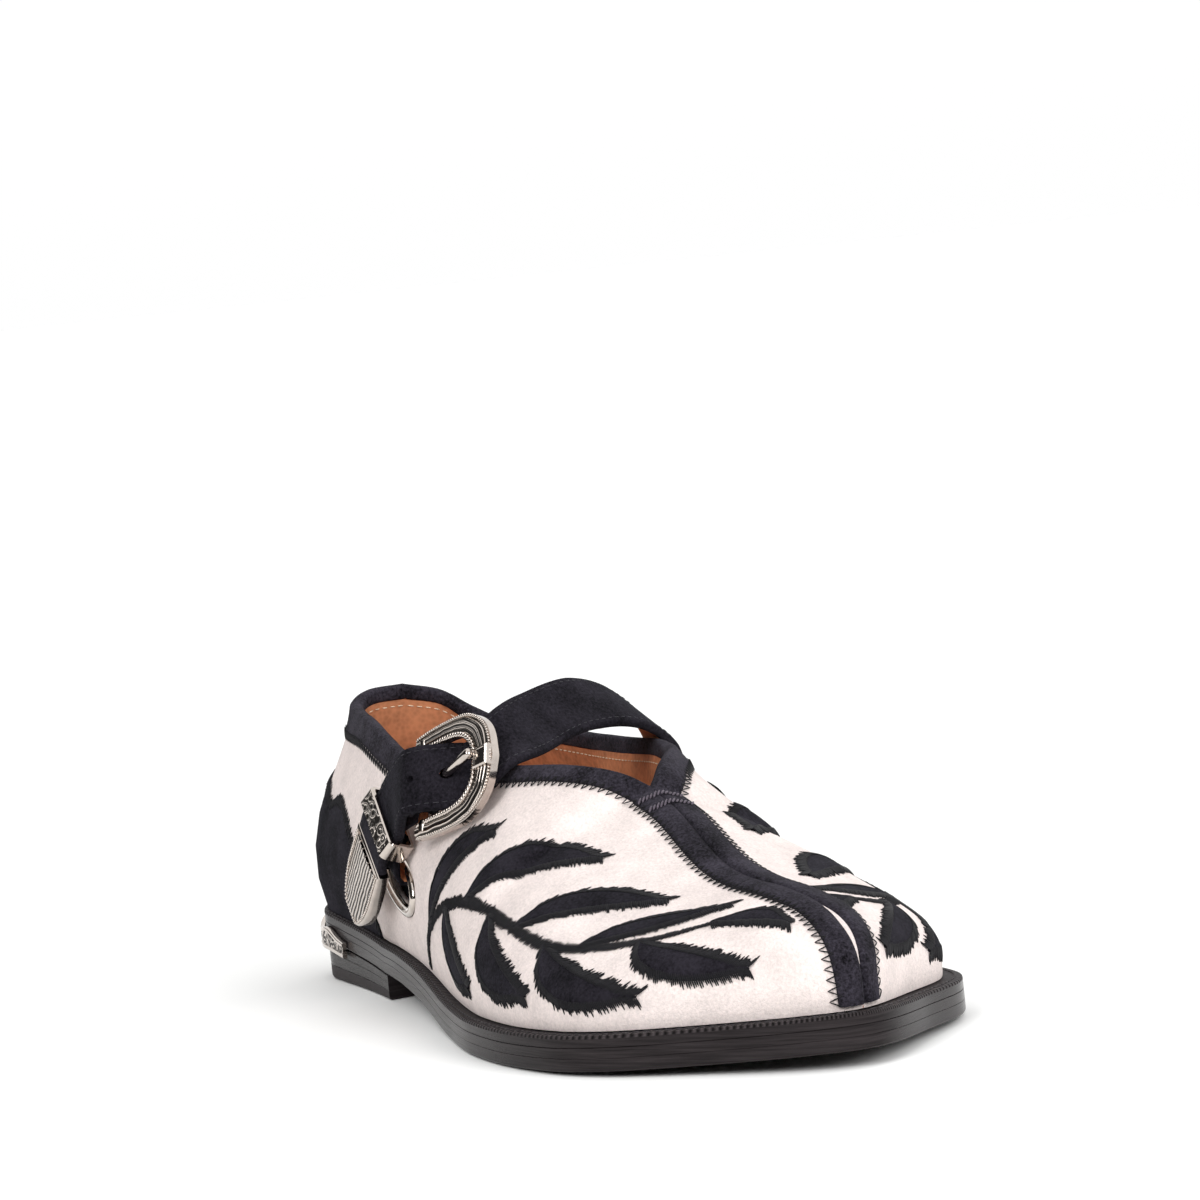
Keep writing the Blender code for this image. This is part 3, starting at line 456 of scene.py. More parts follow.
class LoaferColours(bpy.types.PropertyGroup):
    """Colours of the leathers, the metal and the floor."""

    white_suede: FloatVectorProperty(name="White suede", description="Upper", subtype="COLOR",
                                     default=linear("E6DAD6"))
    black_suede: FloatVectorProperty(name="Black suede", description="Binding, straps and patches",
                                     subtype="COLOR", default=linear("1B191E"))
    lining: FloatVectorProperty(name="Lining", description="Lining and sock", subtype="COLOR",
                                default=linear("BA7D59"))
    sole: FloatVectorProperty(name="Sole", description="Inked sole edge", subtype="COLOR",
                              default=linear("2B2728"))
    nickel: FloatVectorProperty(name="Nickel silver", description="Buckle set", subtype="COLOR",
                                default=linear("CDC3BB"))
    floor: FloatVectorProperty(name="Floor", description="Studio floor", subtype="COLOR",
                               default=linear("FAFAF9"))


def column(table, name, at):
    """Read a named column at a place along the table, on a smooth curve through its rows."""
    places = [row[0] for row in table]
    values = [getattr(row, name) for row in table]
    last = len(table) - 1
    i = 0
    while i < last - 1 and at > places[i + 1]:
        i += 1
    step = places[i + 1] - places[i]
    t = min(max((at - places[i]) / step, 0.0), 1.0)

    def slope(k):
        low, high = max(k - 1, 0), min(k + 1, last)
        return (values[high] - values[low]) / (places[high] - places[low])

    start, end = values[i], values[i + 1]
    rise = slope(i) * step
    fall = slope(i + 1) * step
    return (start * (2 * t**3 - 3 * t**2 + 1) + rise * (t**3 - 2 * t**2 + t)
            + end * (3 * t**2 - 2 * t**3) + fall * (t**3 - t**2))


def along_of(run):
    """Distance along the shoe of a place on the unrolled sole edge."""
    heel_arc = HEEL_ROUND * math.pi / 2
    toe_starts = TOE_RUN - TOE_ROUND * math.pi / 2
    if run < heel_arc:
        return HEEL_ROUND * (1 - math.cos(run / HEEL_ROUND))
    if run < toe_starts:
        share = (run - heel_arc) / (toe_starts - heel_arc)
        return HEEL_ROUND + share * (LENGTH - TOE_ROUND - HEEL_ROUND)
    return LENGTH - TOE_ROUND + TOE_ROUND * math.sin((run - toe_starts) / TOE_ROUND)


def sole_edge(turn):
    """Sole outline: turn is the run from the heel's back, minus on the lateral side, plus on the medial."""
    if turn > TOE_RUN:
        turn -= 2 * TOE_RUN
    if turn < -TOE_RUN:
        turn += 2 * TOE_RUN
    along = along_of(abs(turn))
    cap = 1.0
    if along < HEEL_ROUND:
        cap = math.sqrt(max(0.0, 1 - (1 - along / HEEL_ROUND) ** 2))
    if along > LENGTH - TOE_ROUND:
        share = min((along - LENGTH + TOE_ROUND) / TOE_ROUND, 1.0)
        cap = (1 - share**TOE_FULLNESS) ** (1 / TOE_FULLNESS)
    middle = TOE_SHIFT * max(0.0, (along / LENGTH - 0.6) / 0.4) ** 1.5
    side = "medial" if turn > 0 else "lateral"
    sign = 1 if turn > 0 else -1
    half = column(SOLE, side, along)
    return np.array([along, middle + sign * (half - sign * middle) * cap])


def outward(turn):
    """Level direction that points out of the sole outline."""
    tangent = sole_edge(turn + 0.8) - sole_edge(turn - 0.8)
    normal = np.array([-tangent[1], tangent[0]])
    return normal / np.linalg.norm(normal)


def inset_edge(turn, inset):
    """Sole outline moved inwards."""
    return sole_edge(turn) - outward(turn) * inset


def sole_bottom(x):
    """Underside of the outsole: sloping seat, arched waist, level tread, toe spring."""
    if x < BREAST_X:
        return SEAT_BACK + (SEAT_BREAST - SEAT_BACK) * max(x, 0.0) / BREAST_X
    if x < TREAD_START:
        share = (x - BREAST_X) / (TREAD_START - BREAST_X)
        return SEAT_BREAST * (1 - 3 * share**2 + 2 * share**3)
    if x < TREAD_END:
        return 0.0
    return TOE_SPRING * ((x - TREAD_END) / (LENGTH - TREAD_END)) ** 2


def sole_height(x):
    """Height of outsole and welt together."""
    share = min(max((x / LENGTH - 0.3) / 0.3, 0.0), 1.0)
    return SOLE_AT_HEEL + (SOLE_AT_TREAD - SOLE_AT_HEEL) * share


def welt_top(x):
    """Top of the welt, which the upper stands on."""
    return sole_bottom(x) + sole_height(x)


def welt_bottom(x):
    """Underside of the welt."""
    return welt_top(x) - WELT_THICK


def outsole_top(x):
    """Upper face of the outsole, a gap below the welt."""
    return welt_bottom(x) - GAP


def wall_controls(side, run):
    """The four points that shape the wall's curve from the welt to the top."""
    lateral = side < 0
    wall = WALL_LATERAL if lateral else WALL_MEDIAL
    top = TOPLINE_LATERAL if lateral else TOPLINE_MEDIAL
    if run >= THROAT_RUN:
        top = RIDGE
    turn = side * run
    foot = inset_edge(turn, column(wall, "welt", run))
    foot = np.array([foot[0], foot[1], welt_top(foot[0]) + GAP])
    end = np.array([column(top, name, run) for name in ("x", "y", "z")])
    lean = math.radians(column(top, "lean", run))
    flare = math.tan(math.radians(column(wall, "flare", run)))
    height = end[2] - foot[2]
    lower = foot + np.append(outward(turn) * flare, 1.0) * height * column(wall, "rise", run)
    away = (foot - end)[:2] / np.linalg.norm((foot - end)[:2])
    fall = -math.cos(lean)
    if run >= THROAT_RUN:
        ahead = min(run + 2.0, TOE_RUN)
        behind = max(ahead - 4.0, THROAT_RUN)
        drop = column(RIDGE, "z", ahead) - column(RIDGE, "z", behind)
        fall += away[0] * drop / (column(RIDGE, "x", ahead) - column(RIDGE, "x", behind))
    span = np.linalg.norm(foot - end)
    upper = end + np.append(away * math.sin(lean), fall) * span * column(wall, "reach", run)
    return foot, lower, upper, end


def wall_point(side, run, share):
    """Outer face of the upper: share, or a column of shares, is 0 at the welt and 1 at the wall's top."""
    foot, lower, upper, end = wall_controls(side, run)
    back = 1 - share
    return back**3 * foot + 3 * back**2 * share * lower + 3 * back * share**2 * upper + share**3 * end


def wall_frame(side, run, share):
    """A point of the wall with its level, rising and outward directions."""
    step = 0.5
    part = 0.01
    point = wall_point(side, run, share)
    level = wall_point(side, run + step, share) - wall_point(side, run - step, share)
    rising = wall_point(side, run, share + part) - wall_point(side, run, share - part)
    normal = np.cross(rising, level) * side
    return point, level / (2 * step), rising / (2 * part), normal / np.linalg.norm(normal)


Survey = namedtuple("Survey", "points normals lengths")


@functools.lru_cache(maxsize=None)
def wall_survey():
    """Points, outward directions and lengths up both walls, at every millimetre of run."""
    surveys = {}
    shares = np.linspace(0, 1, SHARES + 1)[:, None]
    for side in (-1, 1):
        points = np.array([wall_point(side, run, shares) for run in range(TOE_RUN + 1)])
        normals = np.cross(np.gradient(points, axis=1), np.gradient(points, axis=0)) * side
        normals /= np.linalg.norm(normals, axis=2, keepdims=True)
        steps = np.linalg.norm(np.diff(points, axis=1), axis=2)
        lengths = np.concatenate([np.zeros((TOE_RUN + 1, 1)), np.cumsum(steps, axis=1)], axis=1)
        surveys[side] = Survey(points, normals, lengths)
    lateral = surveys[-1].normals
    medial = surveys[1].normals
    blended_steps = 3
    sound = SHARES - blended_steps
    for place in (np.s_[0, :], np.s_[TOE_RUN, :sound + 1]):
        middle = lateral[place] + medial[place]
        lateral[place] = medial[place] = middle / np.linalg.norm(middle, axis=-1, keepdims=True)
    middle = lateral[THROAT_RUN:, sound] + medial[THROAT_RUN:, sound]
    middle /= np.linalg.norm(middle, axis=-1, keepdims=True)
    for normals in (lateral, medial):
        for step in range(sound + 1, SHARES + 1):
            share = (step - sound) / blended_steps
            blend = normals[THROAT_RUN:, sound] * (1 - share) + middle * share
            normals[THROAT_RUN:, step] = blend / np.linalg.norm(blend, axis=-1, keepdims=True)
    return surveys


def survey_place(side, run):
    """A side's survey, the row before a run and the part past it; below 0 it goes on round the heel."""
    if run < 0:
        side, run = -side, -run
    run = min(run, TOE_RUN)
    i = min(int(run), TOE_RUN - 1)
    return wall_survey()[side], i, run - i


def on_wall(side, run, share):
    """Point and outward direction anywhere on the wall."""
    survey, i, a = survey_place(side, run)
    j = min(int(share * SHARES), SHARES - 1)
    b = share * SHARES - j

    def mixed(values):
        low = values[i, j] * (1 - a) + values[i + 1, j] * a
        high = values[i, j + 1] * (1 - a) + values[i + 1, j + 1] * a
        return low * (1 - b) + high * b

    normal = mixed(survey.normals)
    return mixed(survey.points), normal / np.linalg.norm(normal)


def share_at(side, run, length, from_top):
    """Share of the wall at a length from its top or from the welt."""
    survey, i, a = survey_place(side, run)
    row = survey.lengths[i] * (1 - a) + survey.lengths[i + 1] * a
    place = row[-1] - length if from_top else length
    return float(np.interp(place, row, np.linspace(0, 1, SHARES + 1)))


def below_top(side, run, down, lift):
    """Point a distance below the wall's top, raised off the leather."""
    point, normal = on_wall(side, run, share_at(side, run, down, True))
    return point + normal * lift


def above_welt(side, run, up, lift):
    """Point a distance up from the welt, raised off the leather."""
    point, normal = on_wall(side, run, share_at(side, run, up, False))
    return point + normal * lift


def placed(point):
    """A drawing point in millimetres as a stored point in metres."""
    return ((point[0] - ORIGIN_X) * MM, (point[1] - ORIGIN_Y) * MM, point[2] * MM)


def join_rings(ring_count, size, closed_rings):
    """Side faces between rings of equal size; the last ring joins the first in a closed tube."""
    faces = []
    for ring in range(ring_count if closed_rings else ring_count - 1):
        following = (ring + 1) % ring_count
        for i in range(size):
            j = (i + 1) % size
            faces.append((ring * size + i, ring * size + j, following * size + j, following * size + i))
    return faces


def cross_strips(first, size):
    """Faces across a ring that is symmetric about its first point."""
    half = size // 2
    faces = [(first, first + 1, first + size - 1)]
    for i in range(1, (size - 1) // 2):
        faces.append((first + i, first + i + 1, first + size - i - 1, first + size - i))
    if size % 2 == 0:
        faces.append((first + half - 1, first + half, first + half + 1))
    return faces


def cross_caps(ring_count, size):
    """Faces across the first and the last ring, in strips."""
    return cross_strips(0, size) + cross_strips((ring_count - 1) * size, size)


def end_caps(ring_count, size):
    """Faces over the first and the last ring, one for each."""
    last = (ring_count - 1) * size
    return [tuple(reversed(range(size))), tuple(range(last, last + size))]


def ring_points(rings):
    """The points of rings as one list."""
    return [point for ring in rings for point in ring]


def add_object(name, data):
    """A new object in the scene."""
    added = bpy.data.objects.new(name, data)
    bpy.context.scene.collection.objects.link(added)
    return added


def make_piece(name, points, faces, finishes, face_finish=None, places=None, sharp=40.0):
    """A mesh object from drawing points; places are UV values for each point, in millimetres."""
    mesh = bpy.data.meshes.new(name)
    mesh.from_pydata([placed(point) for point in points], [], faces)
    if places is not None:
        layer = mesh.uv_layers.new(name="along")
        corners = np.zeros(len(mesh.loops), dtype=np.int32)
        mesh.loops.foreach_get("vertex_index", corners)
        layer.data.foreach_set("uv", np.array(places, dtype=np.float32)[corners].ravel())
    for finish in finishes:
        mesh.materials.append(finish_of(finish))
    if face_finish is not None:
        mesh.polygons.foreach_set("material_index", np.array(face_finish, dtype=np.int32))
    work = bmesh.new()
    work.from_mesh(mesh)
    bmesh.ops.remove_doubles(work, verts=work.verts, dist=WELD * MM)
    bmesh.ops.recalc_face_normals(work, faces=work.faces)
    work.to_mesh(mesh)
    work.free()
    mesh.shade_smooth()
    mesh.set_sharp_from_angle(angle=math.radians(sharp))
    return add_object(name, mesh)


def make_tube(name, rings, finishes, trimmed=None, caps=end_caps, **options):
    """A piece through rings of equal size; with no caps the last ring joins the first.

    Trimmed says of a side face, by its ring and its place round the ring, if it has the second finish.
    """
    size = len(rings[0])
    faces = join_rings(len(rings), size, caps is None)
    face_finish = [int(trimmed is not None and trimmed(*divmod(i, size))) for i in range(len(faces))]
    if caps:
        over = caps(len(rings), size)
        faces += over
        face_finish += [0] * len(over)
    return make_piece(name, ring_points(rings), faces, finishes, face_finish, **options)


def seat_piece(piece, slot, *nodes):
    """Let a piece ride on the shoe and hide the frame nodes that it stands for; its slot is not used."""
    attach(piece, "root")
    if nodes:
        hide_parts(*nodes)


def settle(piece):
    """Turn a piece with modifiers into a plain mesh."""
    depsgraph = bpy.context.evaluated_depsgraph_get()
    mesh = bpy.data.meshes.new_from_object(piece.evaluated_get(depsgraph), preserve_all_data_layers=True,
                                           depsgraph=depsgraph)
    piece.modifiers.clear()
    old = piece.data
    piece.data = mesh
    bpy.data.meshes.remove(old)


def carve(piece, cutter):
    """Take a cutter's shape out of a piece, and remove the cutter."""
    modifier = piece.modifiers.new("cut", "BOOLEAN")
    modifier.operation = "DIFFERENCE"
    modifier.solver = "EXACT"
    modifier.object = cutter
    settle(piece)
    mesh = cutter.data
    bpy.data.objects.remove(cutter)
    bpy.data.meshes.remove(mesh)


def rod_cutter(centre, direction, radius, length, segments=28):
    """A round cutter about a drawing point."""
    turn = Vector(direction).to_track_quat("Z", "Y").to_matrix().to_4x4()
    mesh = bpy.data.meshes.new("rod_cutter")
    work = bmesh.new()
    bmesh.ops.create_cone(work, cap_ends=True, segments=segments, radius1=radius * MM, radius2=radius * MM,
                          depth=length * MM, matrix=Matrix.Translation(placed(centre)) @ turn)
    work.to_mesh(mesh)
    work.free()
    return add_object("rod_cutter", mesh)


def add_node(tree, kind, values=None, links=None, stops=None, **settings):
    """Add a node with its values, links and colour stops; a linked node stands for its first output."""
    node = tree.nodes.new(kind)
    for name, value in settings.items():
        setattr(node, name, value)
    for socket, value in (values or {}).items():
        node.inputs[socket].default_value = value
    for socket, source in (links or {}).items():
        output = source.outputs[0] if isinstance(source, bpy.types.Node) else source
        tree.links.new(output, node.inputs[socket])
    for i, (position, colour) in enumerate(stops or []):
        elements = node.color_ramp.elements
        element = elements[i] if i < 2 else elements.new(position)
        element.position = position
        element.color = (*colour, 1.0)
    return node


def new_finish(name, **sockets):
    """A Principled material with fixed socket values, its node tree and its texture coordinates."""
    material = bpy.data.materials.new(f"{name}_finish")
    material.use_nodes = True
    tree = material.node_tree
    for socket, value in sockets.items():
        tree.nodes["Principled BSDF"].inputs[socket.replace("_", " ")].default_value = value
    return material, tree, add_node(tree, "ShaderNodeTexCoord").outputs


def wired(material, **sources):
    """The material, with a node's first output linked to each named socket of its shader."""
    tree = material.node_tree
    for socket, node in sources.items():
        tree.links.new(node.outputs[0], tree.nodes["Principled BSDF"].inputs[socket.replace("_", " ")])
    return material


def shaded(colour, factor):
    """A colour made darker or lighter."""
    return tuple(min(channel * factor, 1.0) for channel in colour)


def fine(millimetres):
    """Scale of a texture in an object's metres, whose grains are so many millimetres wide."""
    return 1 / (millimetres * MM)


# Scale of a wave texture with bands one unit apart
WAVE_SCALE = 0.314


def suede(name, colour, dark, light, sheen, tint):
    """Brushed split leather: a short nap in tufts of about 0.7 mm, softly lit at its edge, with no gloss."""
    material, tree, place = new_finish(name, Roughness=1.0, Specular_IOR_Level=0.05, Sheen_Weight=sheen,
                                       Sheen_Roughness=0.45, Sheen_Tint=(*tint, 1.0))
    nap = add_node(tree, "ShaderNodeTexNoise", {"Scale": fine(0.714), "Detail": 4.0, "Roughness": 0.75},
                   {"Vector": place["Object"]})
    brushed = add_node(tree, "ShaderNodeTexNoise", {"Scale": fine(9.09), "Detail": 4.0},
                       {"Vector": place["Object"]})
    both = add_node(tree, "ShaderNodeMath", {1: 0.6}, {0: brushed, 2: nap}, operation="MULTIPLY_ADD")
    shades = add_node(tree, "ShaderNodeValToRGB", links={"Fac": both},
                      stops=[(0.6, shaded(colour, dark)), (1.0, shaded(colour, light))])
    bump = add_node(tree, "ShaderNodeBump", {"Strength": 0.6, "Distance": 0.5 * MM}, {"Height": nap})
    return wired(material, Base_Color=shades, Normal=bump)


def lining_leather(colours):
    """Pigskin lining: matt tan with pores about 1.3 mm apart and soft darker clouds."""
    material, tree, place = new_finish("lining_leather", Roughness=0.78, Specular_IOR_Level=0.25)
    pores = add_node(tree, "ShaderNodeTexVoronoi", {"Scale": fine(1.316)}, {"Vector": place["Object"]})
    clouds = add_node(tree, "ShaderNodeTexNoise", {"Scale": fine(8.33), "Detail": 5.0},
                      {"Vector": place["Object"]})
    both = add_node(tree, "ShaderNodeMath", {1: 0.35}, {0: pores.outputs["Distance"], 2: clouds},
                    operation="MULTIPLY_ADD")
    shades = add_node(tree, "ShaderNodeValToRGB", links={"Fac": both},
                      stops=[(0.35, shaded(colours.lining, 0.62)), (0.85, shaded(colours.lining, 1.18))])
    bump = add_node(tree, "ShaderNodeBump", {"Strength": 0.3, "Distance": 0.3 * MM}, {"Height": both})
    return wired(material, Base_Color=shades, Normal=bump)


def edge_leather(name, colour, roughness, streak):
    """Inked and waxed sole edge: near black, fine level fibre streaks about 0.5 mm high, soft gloss."""
    material, tree, place = new_finish(name, IOR=1.15)
    stretched = add_node(tree, "ShaderNodeMapping", {"Scale": (fine(16.67), fine(16.67), fine(0.5))},
                         {"Vector": place["Object"]})
    fibres = add_node(tree, "ShaderNodeTexNoise", {"Scale": 1.0, "Detail": 4.0, "Roughness": 0.6},
                      {"Vector": stretched})
    shades = add_node(tree, "ShaderNodeValToRGB", links={"Fac": fibres},
                      stops=[(0.35, shaded(colour, 0.6)), (0.75, shaded(colour, 1.5))])
    gloss = add_node(tree, "ShaderNodeMapRange", {"To Min": roughness - 0.08, "To Max": roughness + 0.14},
                     {"Value": fibres})
    bump = add_node(tree, "ShaderNodeBump", {"Strength": streak, "Distance": 0.3 * MM}, {"Height": fibres})
    return wired(material, Base_Color=shades, Roughness=gloss, Normal=bump)


def welt_leather(colours):
    """Waxed welt with wheel marks every 1.7 mm along it."""
    material, tree, place = new_finish("welt_leather", IOR=1.15)
    marks = add_node(tree, "ShaderNodeTexWave", {"Scale": WAVE_SCALE / 1.7}, {"Vector": place["UV"]})
    grain = add_node(tree, "ShaderNodeTexNoise", {"Scale": fine(1.111), "Detail": 3.0},
                     {"Vector": place["Object"]})
    both = add_node(tree, "ShaderNodeMath", {1: 0.3}, {0: grain, 2: marks.outputs["Fac"]},
                    operation="MULTIPLY_ADD")
    shades = add_node(tree, "ShaderNodeValToRGB", links={"Fac": both},
                      stops=[(0.2, shaded(colours.sole, 0.3)), (0.9, shaded(colours.sole, 2.0))])
    bump = add_node(tree, "ShaderNodeBump", {"Strength": 0.8, "Distance": 0.8 * MM}, {"Height": both})
    gloss = add_node(tree, "ShaderNodeMapRange", {"To Min": 0.36, "To Max": 0.55}, {"Value": grain})
    return wired(material, Base_Color=shades, Roughness=gloss, Normal=bump)


def nickel_silver(colours):
    """Polished nickel silver: warm white metal with a soft haze from handling."""
    material, tree, place = new_finish("nickel_silver", Metallic=1.0)
    haze = add_node(tree, "ShaderNodeTexNoise", {"Scale": fine(2.5), "Detail": 4.0},
                    {"Vector": place["Object"]})
    shades = add_node(tree, "ShaderNodeValToRGB", links={"Fac": haze},
                      stops=[(0.3, shaded(colours.nickel, 0.82)), (0.7, colours.nickel)])
    gloss = add_node(tree, "ShaderNodeMapRange", {"To Min": 0.05, "To Max": 0.16}, {"Value": haze})
    return wired(material, Base_Color=shades, Roughness=gloss)


def engraved_nickel(name, colours, scroll, gap):
    """Cut and antiqued nickel silver: bright ridges, and dark wax left in cuts a gap of millimetres apart.

    The cuts turn in scrolls of a given width, or run straight along the piece where the width is 0.
    """
    material, tree, place = new_finish(name, Metallic=1.0)
    if scroll:
        curls = add_node(tree, "ShaderNodeTexVoronoi", {"Scale": 1 / scroll, "Randomness": 0.75},
                         {"Vector": place["UV"]})
        turns = add_node(tree, "ShaderNodeMath", {1: 2 * math.pi * scroll / gap},
                         {0: curls.outputs["Distance"]}, operation="MULTIPLY")
        wave = add_node(tree, "ShaderNodeMath", links={0: turns}, operation="SINE")
        cuts = add_node(tree, "ShaderNodeMapRange", {"From Min": -1.0}, {"Value": wave})
    else:
        grooves = {"Scale": WAVE_SCALE / gap, "Distortion": 1.6, "Detail": 0.0}
        cuts = add_node(tree, "ShaderNodeTexWave", grooves, {"Vector": place["UV"]},
                        bands_direction="Y").outputs["Fac"]
    wear = add_node(tree, "ShaderNodeTexNoise", {"Scale": fine(4.0), "Detail": 2.0},
                    {"Vector": place["Object"]})
    both = add_node(tree, "ShaderNodeMath", {1: 0.3}, {0: wear, 2: cuts}, operation="MULTIPLY_ADD")
    shades = add_node(tree, "ShaderNodeValToRGB", links={"Fac": both},
                      stops=[(0.4, linear("3B3733")), (0.9, colours.nickel)])
    gloss = add_node(tree, "ShaderNodeMapRange",
                     {"From Min": 0.3, "From Max": 0.9, "To Min": 0.5, "To Max": 0.14}, {"Value": both})
    bump = add_node(tree, "ShaderNodeBump", {"Strength": 0.9, "Distance": 0.3 * MM}, {"Height": cuts})
    return wired(material, Base_Color=shades, Roughness=gloss, Normal=bump)


def sewing_thread(name, colour):
    """Spun polyester thread: a fine twist, drawn at 0.4 mm so that it shows, with a soft silky edge."""
    material, tree, place = new_finish(name, Roughness=0.62, Specular_IOR_Level=0.2, Sheen_Weight=0.03)
    twist = add_node(tree, "ShaderNodeTexNoise", {"Scale": fine(0.4), "Detail": 1.0},
                     {"Vector": place["Object"]})
    shades = add_node(tree, "ShaderNodeValToRGB", links={"Fac": twist},
                      stops=[(0.3, shaded(colour, 0.6)), (0.7, shaded(colour, 1.35))])
    return wired(material, Base_Color=shades)


def rubber(colours):
    """Moulded rubber top piece: matt black with a fine stipple of about 0.6 mm."""
    material, tree, place = new_finish("heel_rubber", Roughness=0.7, Specular_IOR_Level=0.3)
    stipple = add_node(tree, "ShaderNodeTexVoronoi", {"Scale": fine(0.588)}, {"Vector": place["Object"]})
    shades = add_node(tree, "ShaderNodeValToRGB", links={"Fac": stipple.outputs["Distance"]},
                      stops=[(0.0, shaded(colours.sole, 1.0)), (0.8, shaded(colours.sole, 1.9))])
    bump = add_node(tree, "ShaderNodeBump", {"Strength": 0.25, "Distance": 0.2 * MM},
                    {"Height": stipple.outputs["Distance"]})
    return wired(material, Base_Color=shades, Normal=bump)


def floor_paint(colours):
    """Matt white studio floor with a painted glow away from the shoe, so that no line shows behind it."""
    material, tree, place = new_finish("floor_paint", Base_Color=(*colours.floor, 1.0), Roughness=0.9,
                                       Specular_IOR_Level=0.1, Emission_Color=(1.0, 1.0, 1.0, 1.0))
    away = add_node(tree, "ShaderNodeVectorMath", links={0: place["Object"]}, operation="LENGTH")
    # Painted glow: emission from 0 at 0.4 m from the middle up to 0.25 past 1.2 m
    painted_glow = add_node(tree, "ShaderNodeMapRange", {"From Min": 0.4, "From Max": 1.2, "To Max": 0.25},
                    {"Value": away.outputs["Value"]})
    return wired(material, Emission_Strength=painted_glow)


FINISHES = {
    "white_suede": lambda c: suede("white_suede", tuple(c.white_suede), dark=0.8, light=1.08, sheen=0.05,
                                   tint=(1.0, 0.97, 0.95)),
    "black_suede": lambda c: suede("black_suede", tuple(c.black_suede), dark=0.25, light=2.2, sheen=0.04,
                                   tint=(0.55, 0.57, 0.66)),
    # Painted highlight: black suede made 1.85 times lighter, for the light that falls on the binding
    "lit_binding_suede": lambda c: suede("lit_binding_suede", shaded(c.black_suede, 1.85), dark=0.1, light=2.3,
                                     sheen=0.05, tint=(0.6, 0.6, 0.64)),
    "lining_leather": lining_leather,
    "sole_leather": lambda c: edge_leather("sole_leather", tuple(c.sole), roughness=0.2, streak=0.12),
    "heel_stack": lambda c: edge_leather("heel_stack", tuple(c.sole), roughness=0.24, streak=0.16),
    "heel_rubber": rubber,
    "welt_leather": welt_leather,
    "nickel_silver": nickel_silver,
    "grooved_nickel": lambda c: engraved_nickel("grooved_nickel", c, scroll=0.0, gap=1.15),
    "lined_nickel": lambda c: engraved_nickel("lined_nickel", c, scroll=0.0, gap=1.25),
    "cut_nickel": lambda c: engraved_nickel("cut_nickel", c, scroll=2.6, gap=1.0),
    "black_thread": lambda c: sewing_thread("black_thread", linear("121115")),
    "strap_thread": lambda c: sewing_thread("strap_thread", linear("2D2C31")),
    "tack_thread": lambda c: sewing_thread("tack_thread", linear("554D57")),
    "tan_thread": lambda c: sewing_thread("tan_thread", linear("E2CDB2")),
    "welt_thread": lambda c: sewing_thread("welt_thread", linear("383436")),
    "floor_paint": floor_paint,
}


def finish_of(name):
    """The material of a finish, made when it is first asked for."""
    return bpy.data.materials.get(f"{name}_finish") or FINISHES[name](bpy.context.scene.loafer_colours)


def thread_tree():
    """Node tree that lays a small round body at each point, along the point's own direction."""
    tree = bpy.data.node_groups.get("laid_threads")
    if tree:
        return tree
    tree = bpy.data.node_groups.new("laid_threads", "GeometryNodeTree")
    for name, kind in (("Geometry", "NodeSocketGeometry"), ("Thickness", "NodeSocketFloat"),
                       ("Unevenness", "NodeSocketFloat"), ("Seed", "NodeSocketInt"),
                       ("Finish", "NodeSocketMaterial")):
        tree.interface.new_socket(name, in_out="INPUT", socket_type=kind)
    tree.interface.new_socket("Geometry", in_out="OUTPUT", socket_type="NodeSocketGeometry")
    given = add_node(tree, "NodeGroupInput").outputs
    lay = add_node(tree, "GeometryNodeInputNamedAttribute", {"Name": "lay"}, data_type="FLOAT_VECTOR")
    reach = add_node(tree, "GeometryNodeInputNamedAttribute", {"Name": "reach"}, data_type="FLOAT")
    turn = add_node(tree, "FunctionNodeAlignRotationToVector", links={"Vector": lay}, axis="Z")
    chance = add_node(tree, "FunctionNodeRandomValue", {2: -0.5, 3: 0.5}, {"Seed": given["Seed"]})
    uneven = add_node(tree, "ShaderNodeMath", {2: 0.5},
                      {0: chance.outputs[1], 1: given["Unevenness"]}, operation="MULTIPLY_ADD")
    half = add_node(tree, "ShaderNodeMath", links={0: reach, 1: uneven}, operation="MULTIPLY")
    size = add_node(tree, "ShaderNodeCombineXYZ",
                    links={"X": given["Thickness"], "Y": given["Thickness"], "Z": half})
    body = add_node(tree, "GeometryNodeMeshUVSphere", {"Segments": 6, "Rings": 5, "Radius": 1.0})
    laid = add_node(tree, "GeometryNodeInstanceOnPoints",
                    links={"Points": given["Geometry"], "Instance": body.outputs["Mesh"],
                           "Rotation": turn, "Scale": size})
    real = add_node(tree, "GeometryNodeRealizeInstances", links={"Geometry": laid})
    smooth = add_node(tree, "GeometryNodeSetShadeSmooth", links={"Geometry": real})
    coloured = add_node(tree, "GeometryNodeSetMaterial",
                        links={"Geometry": smooth, "Material": given["Finish"]})
    add_node(tree, "NodeGroupOutput", links={"Geometry": coloured})
    return tree


# Material slot of each finish of laid threads, beads and ropes
LAID_SLOTS = {
    "black_thread": "black_suede",
    "strap_thread": "black_suede",
    "tack_thread": "black_suede",
    "tan_thread": "lining_leather",
    "welt_thread": "welt_leather",
    "nickel_silver": "nickel_silver",
}
Laid = namedtuple("Laid", "point direction length")


